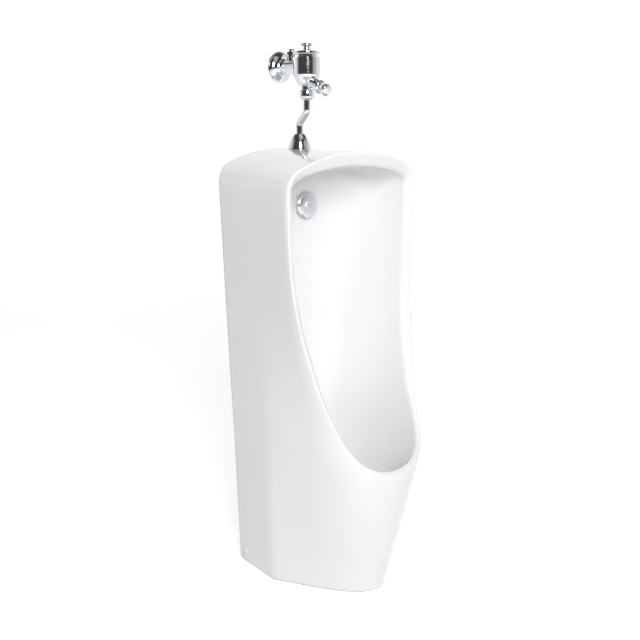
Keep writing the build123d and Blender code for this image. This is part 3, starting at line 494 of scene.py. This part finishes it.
def china_surface(rim_round, band_round):
    """The whole china: the grid with the floor of the bowl, and its mirror image beside it."""
    half = china_grid(rim_round, band_round)
    half = np.concatenate([half, floor_rows(half[-1])])
    left = half[:, 1:-1][:, ::-1] * np.array([-1.0, 1.0, 1.0])
    half[:, 0, 0] = 0
    half[:, -1, 0] = 0
    return np.concatenate([half, left], axis=1)


# Turned and swept pieces

EDGE_ANGLE = 40


def rounded(profile, radius, steps=5):
    """A half outline whose corners are cut by quadratic curves of about the given radius."""
    pts = np.array(profile, float)
    back, ahead = pts[:-2] - pts[1:-1], pts[2:] - pts[1:-1]
    lb = np.linalg.norm(back, axis=1)
    la = np.linalg.norm(ahead, axis=1)
    r = np.minimum(radius, 0.48 * np.minimum(lb, la))
    a = pts[1:-1] + back * (r / lb)[:, None]
    c = pts[1:-1] + ahead * (r / la)[:, None]
    t = np.linspace(0, 1, steps)[:, None, None]
    curve = bezier2(a, pts[1:-1], c, t).transpose(1, 0, 2).reshape(-1, 2)
    return np.concatenate([pts[:1], curve, pts[-1:]])


def turned(name, profile, origin, axis=(0, 0, 1), radius=0.8, closed=True, sides=96):
    """A half outline (radius, place along the axis), in millimetres, carried round its axis.

    closed joins the last point to the first; otherwise points with radius 0 close the ends.
    """
    pts = rounded(list(profile) + ([profile[0]] if closed else []), radius)
    if closed:
        pts = pts[:-1]
    axis = np.array(axis, float) / np.linalg.norm(axis)
    side = np.cross(axis, (1.0, 0, 0)) if abs(axis[0]) < 0.9 else np.cross(axis, (0, 1.0, 0))
    side /= np.linalg.norm(side)
    other = np.cross(axis, side)
    a = np.linspace(0, 2 * np.pi, sides, endpoint=False)
    round_way = np.cos(a)[:, None] * side + np.sin(a)[:, None] * other
    grid = pts[:, None, :1] * round_way[None] + pts[:, None, 1:] * axis
    points = (grid + np.array(origin, float)) * MM
    faces = ring_faces(len(pts), sides) if closed else grid_faces(len(pts), sides, wrap=True)
    obj = make_mesh(name, points.reshape(-1, 3), faces, sharp=EDGE_ANGLE)
    tidy_normals(obj)
    return obj


def tidy_normals(obj):
    """Merges poles and makes every face point outwards."""
    work = bmesh.new()
    work.from_mesh(obj.data)
    bmesh.ops.remove_doubles(work, verts=work.verts, dist=1e-6)
    bmesh.ops.dissolve_degenerate(work, edges=work.edges, dist=1e-7)
    bmesh.ops.recalc_face_normals(work, faces=work.faces)
    work.to_mesh(obj.data)
    work.free()


def ring_from(path, radius, sides):
    """Rings of points of one radius round a path that lies in the plane x = 0."""
    across = np.array([1.0, 0.0, 0.0])
    along = np.gradient(path, axis=0)
    along /= np.linalg.norm(along, axis=1, keepdims=True)
    up = np.cross(along, across)
    a = np.linspace(0, 2 * np.pi, sides, endpoint=False)
    around = np.cos(a)[None, :, None] * across + np.sin(a)[None, :, None] * up[:, None]
    return path[:, None] + radius * around


def bent_path(points, radius, step=24):
    """Straight runs joined by quadratic curves that start where an arc would."""
    pts = np.array(points, float)
    out = [pts[:1]]
    for before, corner, after in zip(pts[:-2], pts[1:-1], pts[2:]):
        a = (before - corner) / np.linalg.norm(before - corner)
        c = (after - corner) / np.linalg.norm(after - corner)
        half = math.acos(np.clip(-a @ c, -1, 1)) / 2
        reach = radius * math.tan(half)
        t = np.linspace(0, 1, step)[:, None]
        out.append(bezier2(corner + a * reach, corner, corner + c * reach, t))
    out.append(pts[-1:])
    return np.concatenate(out)


def tube(name, path, radius, bore, sides=64):
    """An open tube with a wall, carried along a path in the plane x = 0."""
    grid = np.concatenate([ring_from(path, radius, sides), ring_from(path, bore, sides)[::-1]])
    obj = make_mesh(name, grid.reshape(-1, 3) * MM, ring_faces(len(grid), sides), sharp=EDGE_ANGLE)
    tidy_normals(obj)
    return obj


# Sizes and colours that can be set

class UrinalLook(bpy.types.PropertyGroup):
    """Sizes of the fine forms and the colours of the finishes."""
    rim_round: FloatProperty(name="Rim rounding", default=8.0 * MM, unit="LENGTH",
                             description="Rounding of the outer edge of the rim")
    band_round: FloatProperty(name="Band rounding", default=9.0 * MM, unit="LENGTH",
                              description="Rounding where the rim turns into the bowl")
    skin: FloatProperty(name="China thickness", default=13.0 * MM, unit="LENGTH",
                        description="Thickness of the vitreous china")
    edge: FloatProperty(name="Metal edge", default=0.8 * MM, unit="LENGTH",
                        description="Rounding of edges on chromed pieces")
    glaze: StringProperty(name="Glaze colour", description="White of the glaze", default="#f4f4f5")
    shade: StringProperty(name="Glaze depth", default="#eeeef0",
                          description="Cooler white where the glaze lies thick")
    chrome: StringProperty(name="Chrome colour", default="#dfe2e5",
                           description="Reflection colour of chrome")
    brass: StringProperty(name="Brass colour", description="Bare brass", default="#c9a45a")
    rubber: StringProperty(name="Rubber colour", default="#1c1c1e",
                           description="Gaskets and collars")
    plastic: StringProperty(name="Plastic colour", description="Waste fittings", default="#e4e4e0")
    zinc: StringProperty(name="Zinc colour", description="Brackets and screws", default="#b9bcc0")
    steel: StringProperty(name="Spring colour", description="Drawn spring wire", default="#9da1a6")


class UrinalStage(bpy.types.PropertyGroup):
    """Camera, lights and backdrop."""
    camera_place: FloatVectorProperty(name="Camera place", subtype="TRANSLATION",
                                      default=(-1.262, -1.448, 1.028),
                                      description="Where the picture is taken from")
    camera_turn: FloatProperty(name="Camera turn", default=math.radians(-43.7), subtype="ANGLE",
                               description="Bearing of the view")
    camera_pitch: FloatProperty(name="Camera pitch", default=math.radians(13.8), subtype="ANGLE",
                                description="How far the view looks down")
    lens: FloatProperty(name="Lens", description="Focal length for a 36 mm sensor", default=47.8)
    backdrop: StringProperty(name="Backdrop", default="#ffffff",
                             description="Colour behind the object")
    lift: FloatProperty(name="Floor lift", default=0.64,
                        description="White that the floor adds where it is looked at")
    room: FloatProperty(name="Room light", default=0.35,
                        description="Strength of the even light all round")
    key: FloatProperty(name="Key light", default=4.0,
                       description="Strength of the large light on the right")
    fill: FloatProperty(name="Fill light", default=61.0,
                        description="Strength of the light beside the camera")
    top: FloatProperty(name="Top light", description="Strength of the light overhead", default=5.0)


# Finishes

def base_material(name):
    """An empty material with its shader and output, and the object's own coordinates."""
    material = bpy.data.materials.new(name)
    tree = empty_tree(material)
    shader = add_node(tree, "BsdfPrincipled")
    add_node(tree, "OutputMaterial", [("Surface", shader, "BSDF")])
    where = add_node(tree, "TexCoord")
    return material, tree, shader, where


def noise(tree, where, scale, detail=2.0):
    """Noise over the object's own metres: scale 100 repeats about every 10 mm."""
    return add_node(tree, "TexNoise", [("Vector", where, "Object")], Scale=scale, Detail=detail)


def tint(tree, shader, grey, low, high, first, last):
    """Carries the base colour from first to last as a grey value goes from low to high."""
    node = add_node(tree, "ValToRGB", [("Fac", grey, "Fac")])
    for stop, place, colour in zip(node.color_ramp.elements, (low, high), (first, last)):
        stop.position = place
        stop.color = colour
    tree.links.new(node.outputs["Color"], shader.inputs["Base Color"])


def gloss(tree, shader, grey, low, high):
    """Carries the roughness from low to high with a grey value."""
    node = add_node(tree, "MapRange", [("Value", grey, "Fac")], **{"To Min": low, "To Max": high})
    tree.links.new(node.outputs["Result"], shader.inputs["Roughness"])


def bump(tree, shader, grey, depth, strength):
    """Relief of a depth in metres from a grey value."""
    node = add_node(tree, "Bump", [("Height", grey, "Fac")], Distance=depth, Strength=strength)
    tree.links.new(node.outputs["Normal"], shader.inputs["Normal"])


def darker(colour, share):
    """A hex colour in linear RGBA, taken down to a share of its light."""
    return [c * share for c in linear(colour)[:3]] + [1.0]


def glazed_china(look):
    """Glazed vitreous china: the eye reads faintly wavy, wet highlights on a soft white.

    The glaze's thickness drifts over about 330 mm and its surface waves over about 26 mm.
    """
    material, tree, shader, where = base_material("glazed vitreous china")
    wide = noise(tree, where, 3.0, 1.0)
    tint(tree, shader, wide, 0.2, 0.8, linear(look.glaze), linear(look.shade))
    fine = noise(tree, where, 38.0)
    bump(tree, shader, fine, 6e-4, 0.35)
    gloss(tree, shader, fine, 0.10, 0.18)
    for socket, value in (("IOR", 1.52), ("Coat Weight", 0.5), ("Coat Roughness", 0.04),
                          ("Subsurface Weight", 0.04), ("Subsurface Radius", (0.003,) * 3)):
        shader.inputs[socket].default_value = value
    return material


def plated(name, colour, rough_low, rough_high, relief):
    """Plated metal: the eye reads a bright mirror with a little orange peel.

    The gloss changes over about 17 mm and the orange peel repeats every 2.4 mm.
    """
    material, tree, shader, where = base_material(name)
    shader.inputs["Metallic"].default_value = 1.0
    wide = noise(tree, where, 60.0, 3.0)
    tint(tree, shader, wide, 0.3, 0.8, linear(colour), darker(colour, 0.93))
    gloss(tree, shader, wide, rough_low, rough_high)
    bump(tree, shader, noise(tree, where, 420.0), relief, 0.3)
    return material


def drawn(name, colour):
    """Machined or drawn metal: the eye reads fine lines that blur the reflection.

    The lines are 0.45 mm apart up the object and run on for about 8 mm.
    """
    material, tree, shader, where = base_material(name)
    shader.inputs["Metallic"].default_value = 1.0
    shader.inputs["Anisotropic"].default_value = 0.4
    lines = add_node(tree, "Mapping", [("Vector", where, "Object")],
                     Scale=(120.0, 120.0, 2200.0))
    grain = add_node(tree, "TexNoise", [("Vector", lines, "Vector")], Scale=1.0, Detail=3.0)
    tint(tree, shader, grain, 0.25, 0.8, darker(colour, 0.8), linear(colour))
    gloss(tree, shader, grain, 0.22, 0.42)
    bump(tree, shader, grain, 8e-5, 0.4)
    return material


def moulded(name, colour, rough, grain_size, relief):
    """Moulded rubber or plastic: the eye reads an even skin with a fine, slightly uneven grain."""
    material, tree, shader, where = base_material(name)
    grain = noise(tree, where, grain_size, 3.0)
    tint(tree, shader, grain, 0.3, 0.75, darker(colour, 0.9), linear(colour))
    gloss(tree, shader, grain, rough, rough + 0.15)
    bump(tree, shader, grain, relief, 0.5)
    return material


FINISHES = {}


def finish_for(slot_name):
    """The material of a record slot, made once."""
    look = bpy.context.scene.urinal_look
    makers = {
        "glazed_ceramic": (glazed_china, look),
        "chrome": (plated, "polished chrome plate", look.chrome, 0.05, 0.13, 4e-5),
        "strainer_chrome": (plated, "polished chrome strainer", look.chrome, 0.10, 0.2, 5e-5),
        "spreader_chrome": (plated, "satin chrome rose", look.chrome, 0.14, 0.26, 6e-5),
        "brass": (drawn, "machined brass", look.brass),
        "rubber": (moulded, "black moulded rubber", look.rubber, 0.55, 900.0, 1e-4),
        "drain_plastic": (moulded, "moulded polypropylene", look.plastic, 0.38, 500.0, 6e-5),
        "white_plastic": (moulded, "gloss white cap", look.glaze, 0.2, 300.0, 3e-5),
        "zinc_steel": (drawn, "zinc-plated steel", look.zinc),
        "spring_steel": (drawn, "drawn spring wire", look.steel),
    }
    if slot_name not in FINISHES:
        maker, *values = makers[slot_name]
        FINISHES[slot_name] = maker(*values)
    return FINISHES[slot_name]


def dress(obj, slot_name, body):
    """Gives a new piece the finish of a record slot, and the body that carries it."""
    obj.data.materials.append(finish_for(slot_name))
    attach(obj, body)


def box_mm(node):
    """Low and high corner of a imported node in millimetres."""
    low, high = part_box(node)
    return np.array(low) / MM, np.array(high) / MM


def axis_of(node):
    """Centre line of an upright turned node: (x, y), its radius, lowest and highest level."""
    low, high = box_mm(node)
    return (low[:2] + high[:2]) / 2, (high[0] - low[0]) / 2, low[2], high[2]


def arc(centre, wide, tall, angles, count):
    """Points of an elliptic arc in a half outline, between two angles from its outer side."""
    t = np.linspace(*angles, count)
    return list(zip(centre[0] + wide * np.cos(t), centre[1] + tall * np.sin(t)))


# Pieces

QUARTER = math.pi / 2
FIT = 0.05


class URINAL_OT_china(bpy.types.Operator):
    """Glazed body: the outside, the rim and the bowl as one closed skin."""
    bl_idname = "urinal.china"
    bl_label = "Glazed body"

    def execute(self, context):
        look = context.scene.urinal_look
        ring = china_surface(look.rim_round / MM, look.band_round / MM)
        rows, columns = ring.shape[:2]
        obj = make_mesh("china_body", ring.reshape(-1, 3) * MM,
                        grid_faces(rows, columns, wrap=True), sharp=60)
        self.thin_towards_rim(obj, rows, columns)
        skin = obj.modifiers.new("skin", "SOLIDIFY")
        skin.thickness = look.skin
        skin.offset = -1.0
        skin.use_even_offset = False
        skin.vertex_group = "thick"
        dress(obj, "glazed_ceramic", "urinal")
        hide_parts("urinal_body")
        return {"FINISHED"}

    def thin_towards_rim(self, obj, rows, columns):
        """Full thickness at the back edges, less between the two skins, least round the rim."""
        row = np.arange(rows)
        away = np.clip((np.abs(row - RIM_ROW) - RIM_ROWS) / RIM_BLEND, 0, 1)
        least = RIM_SHARE + (THIN_SHARE - RIM_SHARE) * away
        share = np.round(np.clip(1.0 - (row - BACK_ROWS) / BACK_BLEND, least, 1.0), 2)
        group = obj.vertex_groups.new(name="thick")
        for value in np.unique(share):
            chosen = np.flatnonzero(share == value)
            places = (chosen[:, None] * columns + np.arange(columns)).ravel()
            group.add(places.tolist(), float(value), "REPLACE")


class URINAL_OT_valve(bpy.types.Operator):
    """Turned pieces of the flush valve: cap, knob, coupling nut, push button and its guide nut."""
    bl_idname = "urinal.valve"
    bl_label = "Flush valve"

    def execute(self, context):
        edge = context.scene.urinal_look.edge / MM
        self.cap(edge)
        self.knob(edge)
        self.nut(edge)
        self.button(edge)
        return {"FINISHED"}

    def cap(self, edge):
        """Domed cap: a flat edge, a rounded shoulder and a raised collar under the knob."""
        (x, y), r, _, high = axis_of("valve_cap")
        low = box_mm("valve_body")[1][2]
        spindle = axis_of("lift_stem")[1] + FIT
        collar = axis_of("adjusting_knob")[1] * 0.66
        skirt, brim, dome_run, dome_rise = 9, 5.5, 17, high - low - 7
        inner = r - 4.05
        t = np.linspace(0, 1, 9)[1:]
        dome = zip(r - dome_run * t, low + brim + dome_rise * np.sin(t * QUARTER) ** 0.9)
        profile = [(spindle, low + 2), (inner - 3, low + 2), (inner - 3, low - skirt),
                   (inner, low - skirt), (inner, low + 0.4), (r, low + 0.4), (r, low + brim),
                   *dome, (collar, high - 0.8), (collar - 0.6, high), (spindle, high)]
        obj = turned("valve_cap_skin", profile, (x, y, 0), radius=edge)
        dress(obj, "chrome", "urinal")
        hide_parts("valve_cap")

    def knob(self, edge):
        """Mushroom knob on a waisted neck."""
        (x, y), r, low, high = axis_of("adjusting_knob")
        spindle = axis_of("lift_stem")[1] + FIT
        neck = r * 0.52
        tall = high - low
        crown, socket = 3.6, 2.5
        profile = [(spindle, low), (neck + 1.2, low), (neck, low + 2.2), (neck, low + 0.42 * tall),
                   (r - 1.8, low + 0.55 * tall), (r, low + 0.62 * tall),
                   *arc((0.0, high - crown), r, crown, (0, QUARTER), 10)[:-1],
                   (0.0, high), (0.0, high - socket), (spindle, high - socket)]
        obj = turned("knob_skin", profile, (x, y, 0), radius=edge)
        dress(obj, "chrome", "knob")
        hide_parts("adjusting_knob")

    def nut(self, edge):
        """Rounded coupling nut with a small flat at each end."""
        (x, y), r, low, high = axis_of("coupling_nut")
        bore, tail, floor = 8.05, 12.55, low + 2.2
        profile = [(bore, low), (bore + 2.4, low),
                   *arc((r - 5.5, low + 9), 5.5, 8.6, (-1.25, 0), 8),
                   *arc((r - 4.0, high - 7.5), 4.0, 7.4, (0, 1.35), 8),
                   (tail + 0.6, high), (tail, high), (tail, floor), (bore, floor)]
        obj = turned("coupling_nut_skin", profile, (x, y, 0), radius=edge * 0.6)
        dress(obj, "chrome", "urinal")
        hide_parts("coupling_nut")

    def button(self, edge):
        """Mushroom push button and the nut that guides it, both on the button's tilted axis."""
        origin, axis = button_line()
        nut_low, nut_high = along("button_bush", origin, axis)
        low, high = along("push_button", origin, axis)
        r, stem, crown = 13.0, 4.0, 4.5
        head = high - 12.0
        collar = nut_low - 3.2
        profile = [(0.0, low), (stem - 1, low), (stem, low + 1), (stem, collar - 2),
                   (stem + 3, collar - 2), (stem + 3, collar), (stem, collar), (stem, head - 0.6),
                   (stem + 3.0, head + 0.3), (r - 2, head + 1.1), (r, head + 3.2),
                   (r, high - crown), *arc((0.0, high - crown), r, crown, (0.25, QUARTER), 10)]
        obj = turned("push_button_skin", profile, origin, axis=axis, radius=edge, closed=False)
        dress(obj, "chrome", "button")
        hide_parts("push_button")
        r, bore, inner = 14.5, 4.05, 8.45
        end, step = nut_high - 18, nut_high - 8.7
        profile = [(bore, end), (inner, end), (inner, step), (r - 1.6, step), (r, nut_high - 6.5),
                   *arc((bore + 4, nut_high - 5), r - bore - 4, 5, (0.1, QUARTER), 8),
                   (bore, nut_high)]
        obj = turned("button_nut_skin", profile, origin, axis=axis, radius=edge * 0.6)
        dress(obj, "chrome", "urinal")
        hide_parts("button_bush")
        self.spring(origin, axis)

    def spring(self, origin, axis):
        """Compression spring: round wire on a helix."""
        low, high = along("button_spring", origin, axis)
        wire, coil, turns, travel, sides = 0.6, 5.8, 3, 7.0, 16
        t = np.linspace(0, 1, 220)
        turn = 2 * math.pi * turns * t
        side = np.array([1.0, 0.0, 0.0])
        out = np.cos(turn)[:, None] * side + np.sin(turn)[:, None] * np.cross(axis, side)
        middle = origin + axis * (low + wire + (high - low - 2 * wire) * t[:, None]) + out * coil
        a = np.linspace(0, 2 * np.pi, sides, endpoint=False)[None, :, None]
        rings = middle[:, None] + wire * (np.cos(a) * out[:, None] + np.sin(a) * axis)
        ends = [np.broadcast_to(m, (1, sides, 3)) for m in (middle[0], middle[-1])]
        grid = np.concatenate([ends[0], rings, ends[1]])
        obj = make_mesh("button_spring_wire", grid.reshape(-1, 3) * MM,
                        grid_faces(len(grid), sides, wrap=True))
        tidy_normals(obj)
        dress(obj, "spring_steel", "urinal")
        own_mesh(obj)
        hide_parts("button_spring")


BUTTON_TILT = math.radians(20.0)


def points_of(node):
    """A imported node's points in millimetres."""
    mesh = frame["nodes"][node].data
    co = np.empty(len(mesh.vertices) * 3)
    mesh.vertices.foreach_get("co", co)
    return co.reshape(-1, 3) / MM


def button_line():
    """Where the button's axis meets the valve's, and its direction, forwards and down."""
    axis = np.array([0.0, -math.cos(BUTTON_TILT), -math.sin(BUTTON_TILT)])
    square = np.array([0.0, axis[2], -axis[1]])
    place = points_of("push_button") @ square
    y = axis_of("valve_cap")[0][1]
    z = ((place.min() + place.max()) / 2 - square[1] * y) / square[2]
    return np.array([0.0, y, z]), axis


def along(node, origin, axis):
    """Lowest and highest place of a node's points along a line."""
    place = (points_of(node) - origin) @ axis
    return place.min(), place.max()


class URINAL_OT_pipework(bpy.types.Operator):
    """Flush pipe, inlet cone and wall flange."""
    bl_idname = "urinal.pipework"
    bl_label = "Pipework"

    def execute(self, context):
        edge = context.scene.urinal_look.edge / MM
        self.pipe()
        self.cone(edge)
        self.flange(edge)
        return {"FINISHED"}

    def pipe(self):
        """Tube that runs up from the inlet, steps forward and runs on into the valve."""
        low, high = box_mm("flush_pipe")
        inlet = axis_of("cone_cover")[0][1]
        valve = axis_of("valve_cap")[0][1]
        bend = box_mm("cone_cover")[0][2] + 53.0
        path = bent_path([(0, inlet, low[2]), (0, inlet, bend), (0, valve, bend + 24),
                          (0, valve, high[2])], 14.0)
        obj = tube("flush_pipe_skin", path, 8.0, 7.0)
        dress(obj, "chrome", "urinal")
        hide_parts("flush_pipe")

    def cone(self, edge):
        """Thin bell over the inlet: its radius is about the root of the way left to the pipe."""
        (x, y), r, low, high = axis_of("cone_cover")
        neck, brim, wall, bore = 9.6, 2.2, 1.2, 8.1
        t = np.linspace(0, 1, 22)
        curve = np.stack([neck + (r - 0.3 - neck) * (1 - t) ** 0.55,
                          low + brim + (high - low - brim) * t], 1)
        lean = np.gradient(curve, axis=0)
        lean /= np.linalg.norm(lean, axis=1, keepdims=True)
        inner = curve - wall * np.abs(lean[:, ::-1])
        inner[:, 0] = np.maximum(inner[:, 0], bore)
        inner[0, 1] = low
        profile = [(r, low), (r, low + 1.6), *curve, *inner[::-1]]
        obj = turned("inlet_cone_skin", profile, (x, y, 0), radius=edge * 0.5)
        dress(obj, "chrome", "urinal")
        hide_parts("cone_cover")

    def flange(self, edge):
        """Bell-shaped cover plate: an ogee from the wall to the neck."""
        low, high = box_mm("wall_flange")
        middle = (low + high) / 2
        r = (high[0] - low[0]) / 2
        deep = high[1] - low[1]
        neck = box_mm("supply_nipple")[1][0]
        rim, lip = 2.2, neck + 0.1
        u = np.linspace(0, 1, 20)
        ogee = np.stack([r - (r - neck - 4) * (0.85 * u + 0.15 * np.sin(math.pi * u)),
                         rim + (deep - 2 * rim) * u ** 1.25], 1)
        back = [(a - 2.0, max(b - 1.4, 0.2)) for a, b in ogee[::-1]]
        profile = [(r, 0.1), (r, 1.2), *ogee, (neck + 3.4, deep), (lip, deep), (lip, deep - 2),
                   *back, (r - 1.6, 0.1)]
        origin = (middle[0], high[1] + 0.1, middle[2])
        obj = turned("wall_flange_skin", profile, origin, axis=(0, -1, 0), radius=edge * 0.5)
        dress(obj, "chrome", "urinal")
        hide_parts("wall_flange")


class URINAL_OT_finishes(bpy.types.Operator):
    """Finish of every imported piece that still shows, from its record slot."""
    bl_idname = "urinal.finishes"
    bl_label = "Finishes"

    def execute(self, context):
        slots = {part["node"]: part["material_slot"] for part in frame["record"]["subparts"]}
        for name, obj in frame["nodes"].items():
            finish = finish_for(slots[name])
            if not obj.data.materials:
                obj.data.materials.append(finish)
            for place in obj.material_slots:
                place.material = finish
        return {"FINISHED"}


class URINAL_OT_stage(bpy.types.Operator):
    """Pale floor and backdrop, soft lights and the camera of the photograph."""
    bl_idname = "urinal.stage"
    bl_label = "Stage"

    def execute(self, context):
        look = context.scene.urinal_stage
        self.floor(look)
        self.world(look)
        self.light("key", (1.2, -3.0, 1.8), (0.0, -0.2, 0.6), (1.6, 2.2), look.key)
        self.light("fill", (-1.4, -2.3, 2.0), (0.0, -0.2, 0.55), (0.9, 1.4), look.fill)
        self.light("top", (-0.3, -1.4, 3.2), (0.0, -0.2, 0.5), (2.2, 1.6), look.top)
        self.camera(context, look)
        return {"FINISHED"}

    def floor(self, look):
        """Floor that turns up into a backdrop: flat, a wide quarter curve, then upright.

        It adds white of its own for the camera and in mirrors, and keeps the object's shadow.
        """
        t = np.linspace(0, math.pi / 2, 24)
        curve = np.stack([2.2 + 1.6 * np.sin(t), 1.6 - 1.6 * np.cos(t)], 1)
        run = np.concatenate([[[-9.0, 0.0]], curve, [[3.8, 7.0]]])
        x = np.linspace(-9, 9, 3)
        forward = np.array([-math.sin(look.camera_turn), math.cos(look.camera_turn)])
        right = np.array([forward[1], -forward[0]])
        place = run[:, None, :1] * forward + x[None, :, None] * right
        level = np.broadcast_to(run[:, None, 1:], place.shape[:2] + (1,))
        points = np.concatenate([place, level], -1)
        obj = make_mesh("floor", points.reshape(-1, 3), grid_faces(len(run), len(x), flip=True))
        material = bpy.data.materials.new("pale floor")
        tree = empty_tree(material)
        colour = linear(look.backdrop)
        matt = add_node(tree, "BsdfDiffuse", Color=darker(look.backdrop, 0.8))
        seen = add_node(tree, "Emission", Color=colour, Strength=look.lift)
        dark = add_node(tree, "Emission", Color=(0.0, 0.0, 0.0, 1.0), Strength=0.0)
        ray = add_node(tree, "LightPath")
        either = add_node(tree, "Math", [(0, ray, "Is Camera Ray"), (1, ray, "Is Glossy Ray")],
                          operation="MAXIMUM")
        glow = add_node(tree, "MixShader", [("Fac", either, "Value"), (1, dark, "Emission"),
                                            (2, seen, "Emission")])
        both = add_node(tree, "AddShader", [(0, matt, "BSDF"), (1, glow, "Shader")])
        add_node(tree, "OutputMaterial", [("Surface", both, "Shader")])
        obj.data.materials.append(material)
        obj.location.z = -0.001

    def world(self, look):
        """White where it is looked at, an even room light, and dark places for mirrors.

        The chrome sees the room fade behind the camera and overhead.
        """
        world = bpy.data.worlds.new("studio")
        tree = empty_tree(world)
        white = linear(look.backdrop)
        ray = add_node(tree, "LightPath")
        where = add_node(tree, "TexCoord")
        ahead = add_node(tree, "VectorMath", [("Vector", where, "Generated")],
                         operation="DOT_PRODUCT")
        turn = look.camera_turn
        ahead.inputs[1].default_value = (-math.sin(turn), math.cos(turn), 0.0)
        room = add_node(tree, "MapRange", [("Value", ahead, "Value")],
                        **{"From Min": -0.35, "From Max": 0.15, "To Min": 0.06, "To Max": 1.0})
        part = add_node(tree, "SeparateXYZ", [("Vector", where, "Generated")])
        roof = add_node(tree, "MapRange", [("Value", part, "Z")],
                        **{"From Min": 0.2, "From Max": 0.6, "To Min": 1.0, "To Max": 0.06})
        dim = add_node(tree, "Math", [(0, room, "Result"), (1, roof, "Result")],
                       operation="MINIMUM")
        seen = add_node(tree, "Background", Color=white, Strength=1.0)
        mirrored = add_node(tree, "Background", [("Strength", dim, "Value")], Color=white)
        soft = add_node(tree, "Background", Color=(0.985, 0.99, 1.0, 1.0), Strength=look.room)
        shine = add_node(tree, "MixShader", [("Fac", ray, "Is Glossy Ray"),
                                             (1, soft, "Background"), (2, mirrored, "Background")])
        both = add_node(tree, "MixShader", [("Fac", ray, "Is Camera Ray"),
                                            (1, shine, "Shader"), (2, seen, "Background")])
        add_node(tree, "OutputWorld", [("Surface", both, "Shader")])
        bpy.context.scene.world = world

    def light(self, name, place, target, size, power):
        """A soft rectangular lamp that points at a place."""
        data = bpy.data.lights.new(name, "AREA")
        data.shape = "RECTANGLE"
        data.size, data.size_y = size
        data.energy = power
        obj = bpy.data.objects.new(name, data)
        obj.location = place
        obj.rotation_euler = (Vector(target) - Vector(place)).to_track_quat("-Z", "Y").to_euler()
        bpy.context.scene.collection.objects.link(obj)

    def camera(self, context, look):
        """The camera of the photograph, at its bearing and pitch."""
        data = bpy.data.cameras.new("photograph")
        data.lens = look.lens
        obj = bpy.data.objects.new("photograph", data)
        obj.location = look.camera_place
        obj.rotation_euler = (math.pi / 2 - look.camera_pitch, 0, look.camera_turn)
        context.scene.collection.objects.link(obj)
        context.scene.camera = obj
        context.scene.view_settings.view_transform = "Standard"


class URINAL_PT_panel(bpy.types.Panel):
    """Buttons that make the urinal piece by piece."""
    bl_label = "Urinal"
    bl_idname = "URINAL_PT_panel"
    bl_space_type = "VIEW_3D"
    bl_region_type = "UI"
    bl_category = "Urinal"

    def draw(self, context):
        for operator in OPERATORS:
            self.layout.operator(operator.bl_idname)
        for group in (context.scene.urinal_look, context.scene.urinal_stage):
            for key in group.__annotations__:
                self.layout.prop(group, key)


OPERATORS = (URINAL_OT_china, URINAL_OT_valve, URINAL_OT_pipework, URINAL_OT_finishes,
             URINAL_OT_stage)
CLASSES = (UrinalLook, UrinalStage) + OPERATORS + (URINAL_PT_panel,)


def register():
    for item in CLASSES:
        bpy.utils.register_class(item)
    bpy.types.Scene.urinal_look = PointerProperty(type=UrinalLook)
    bpy.types.Scene.urinal_stage = PointerProperty(type=UrinalStage)


def unregister():
    del bpy.types.Scene.urinal_stage
    del bpy.types.Scene.urinal_look
    for item in reversed(CLASSES):
        bpy.utils.unregister_class(item)


def main():
    register()
    for operator in OPERATORS:
        group, name = operator.bl_idname.split(".")
        getattr(getattr(bpy.ops, group), name)()


if __name__ == "__main__":
    main()
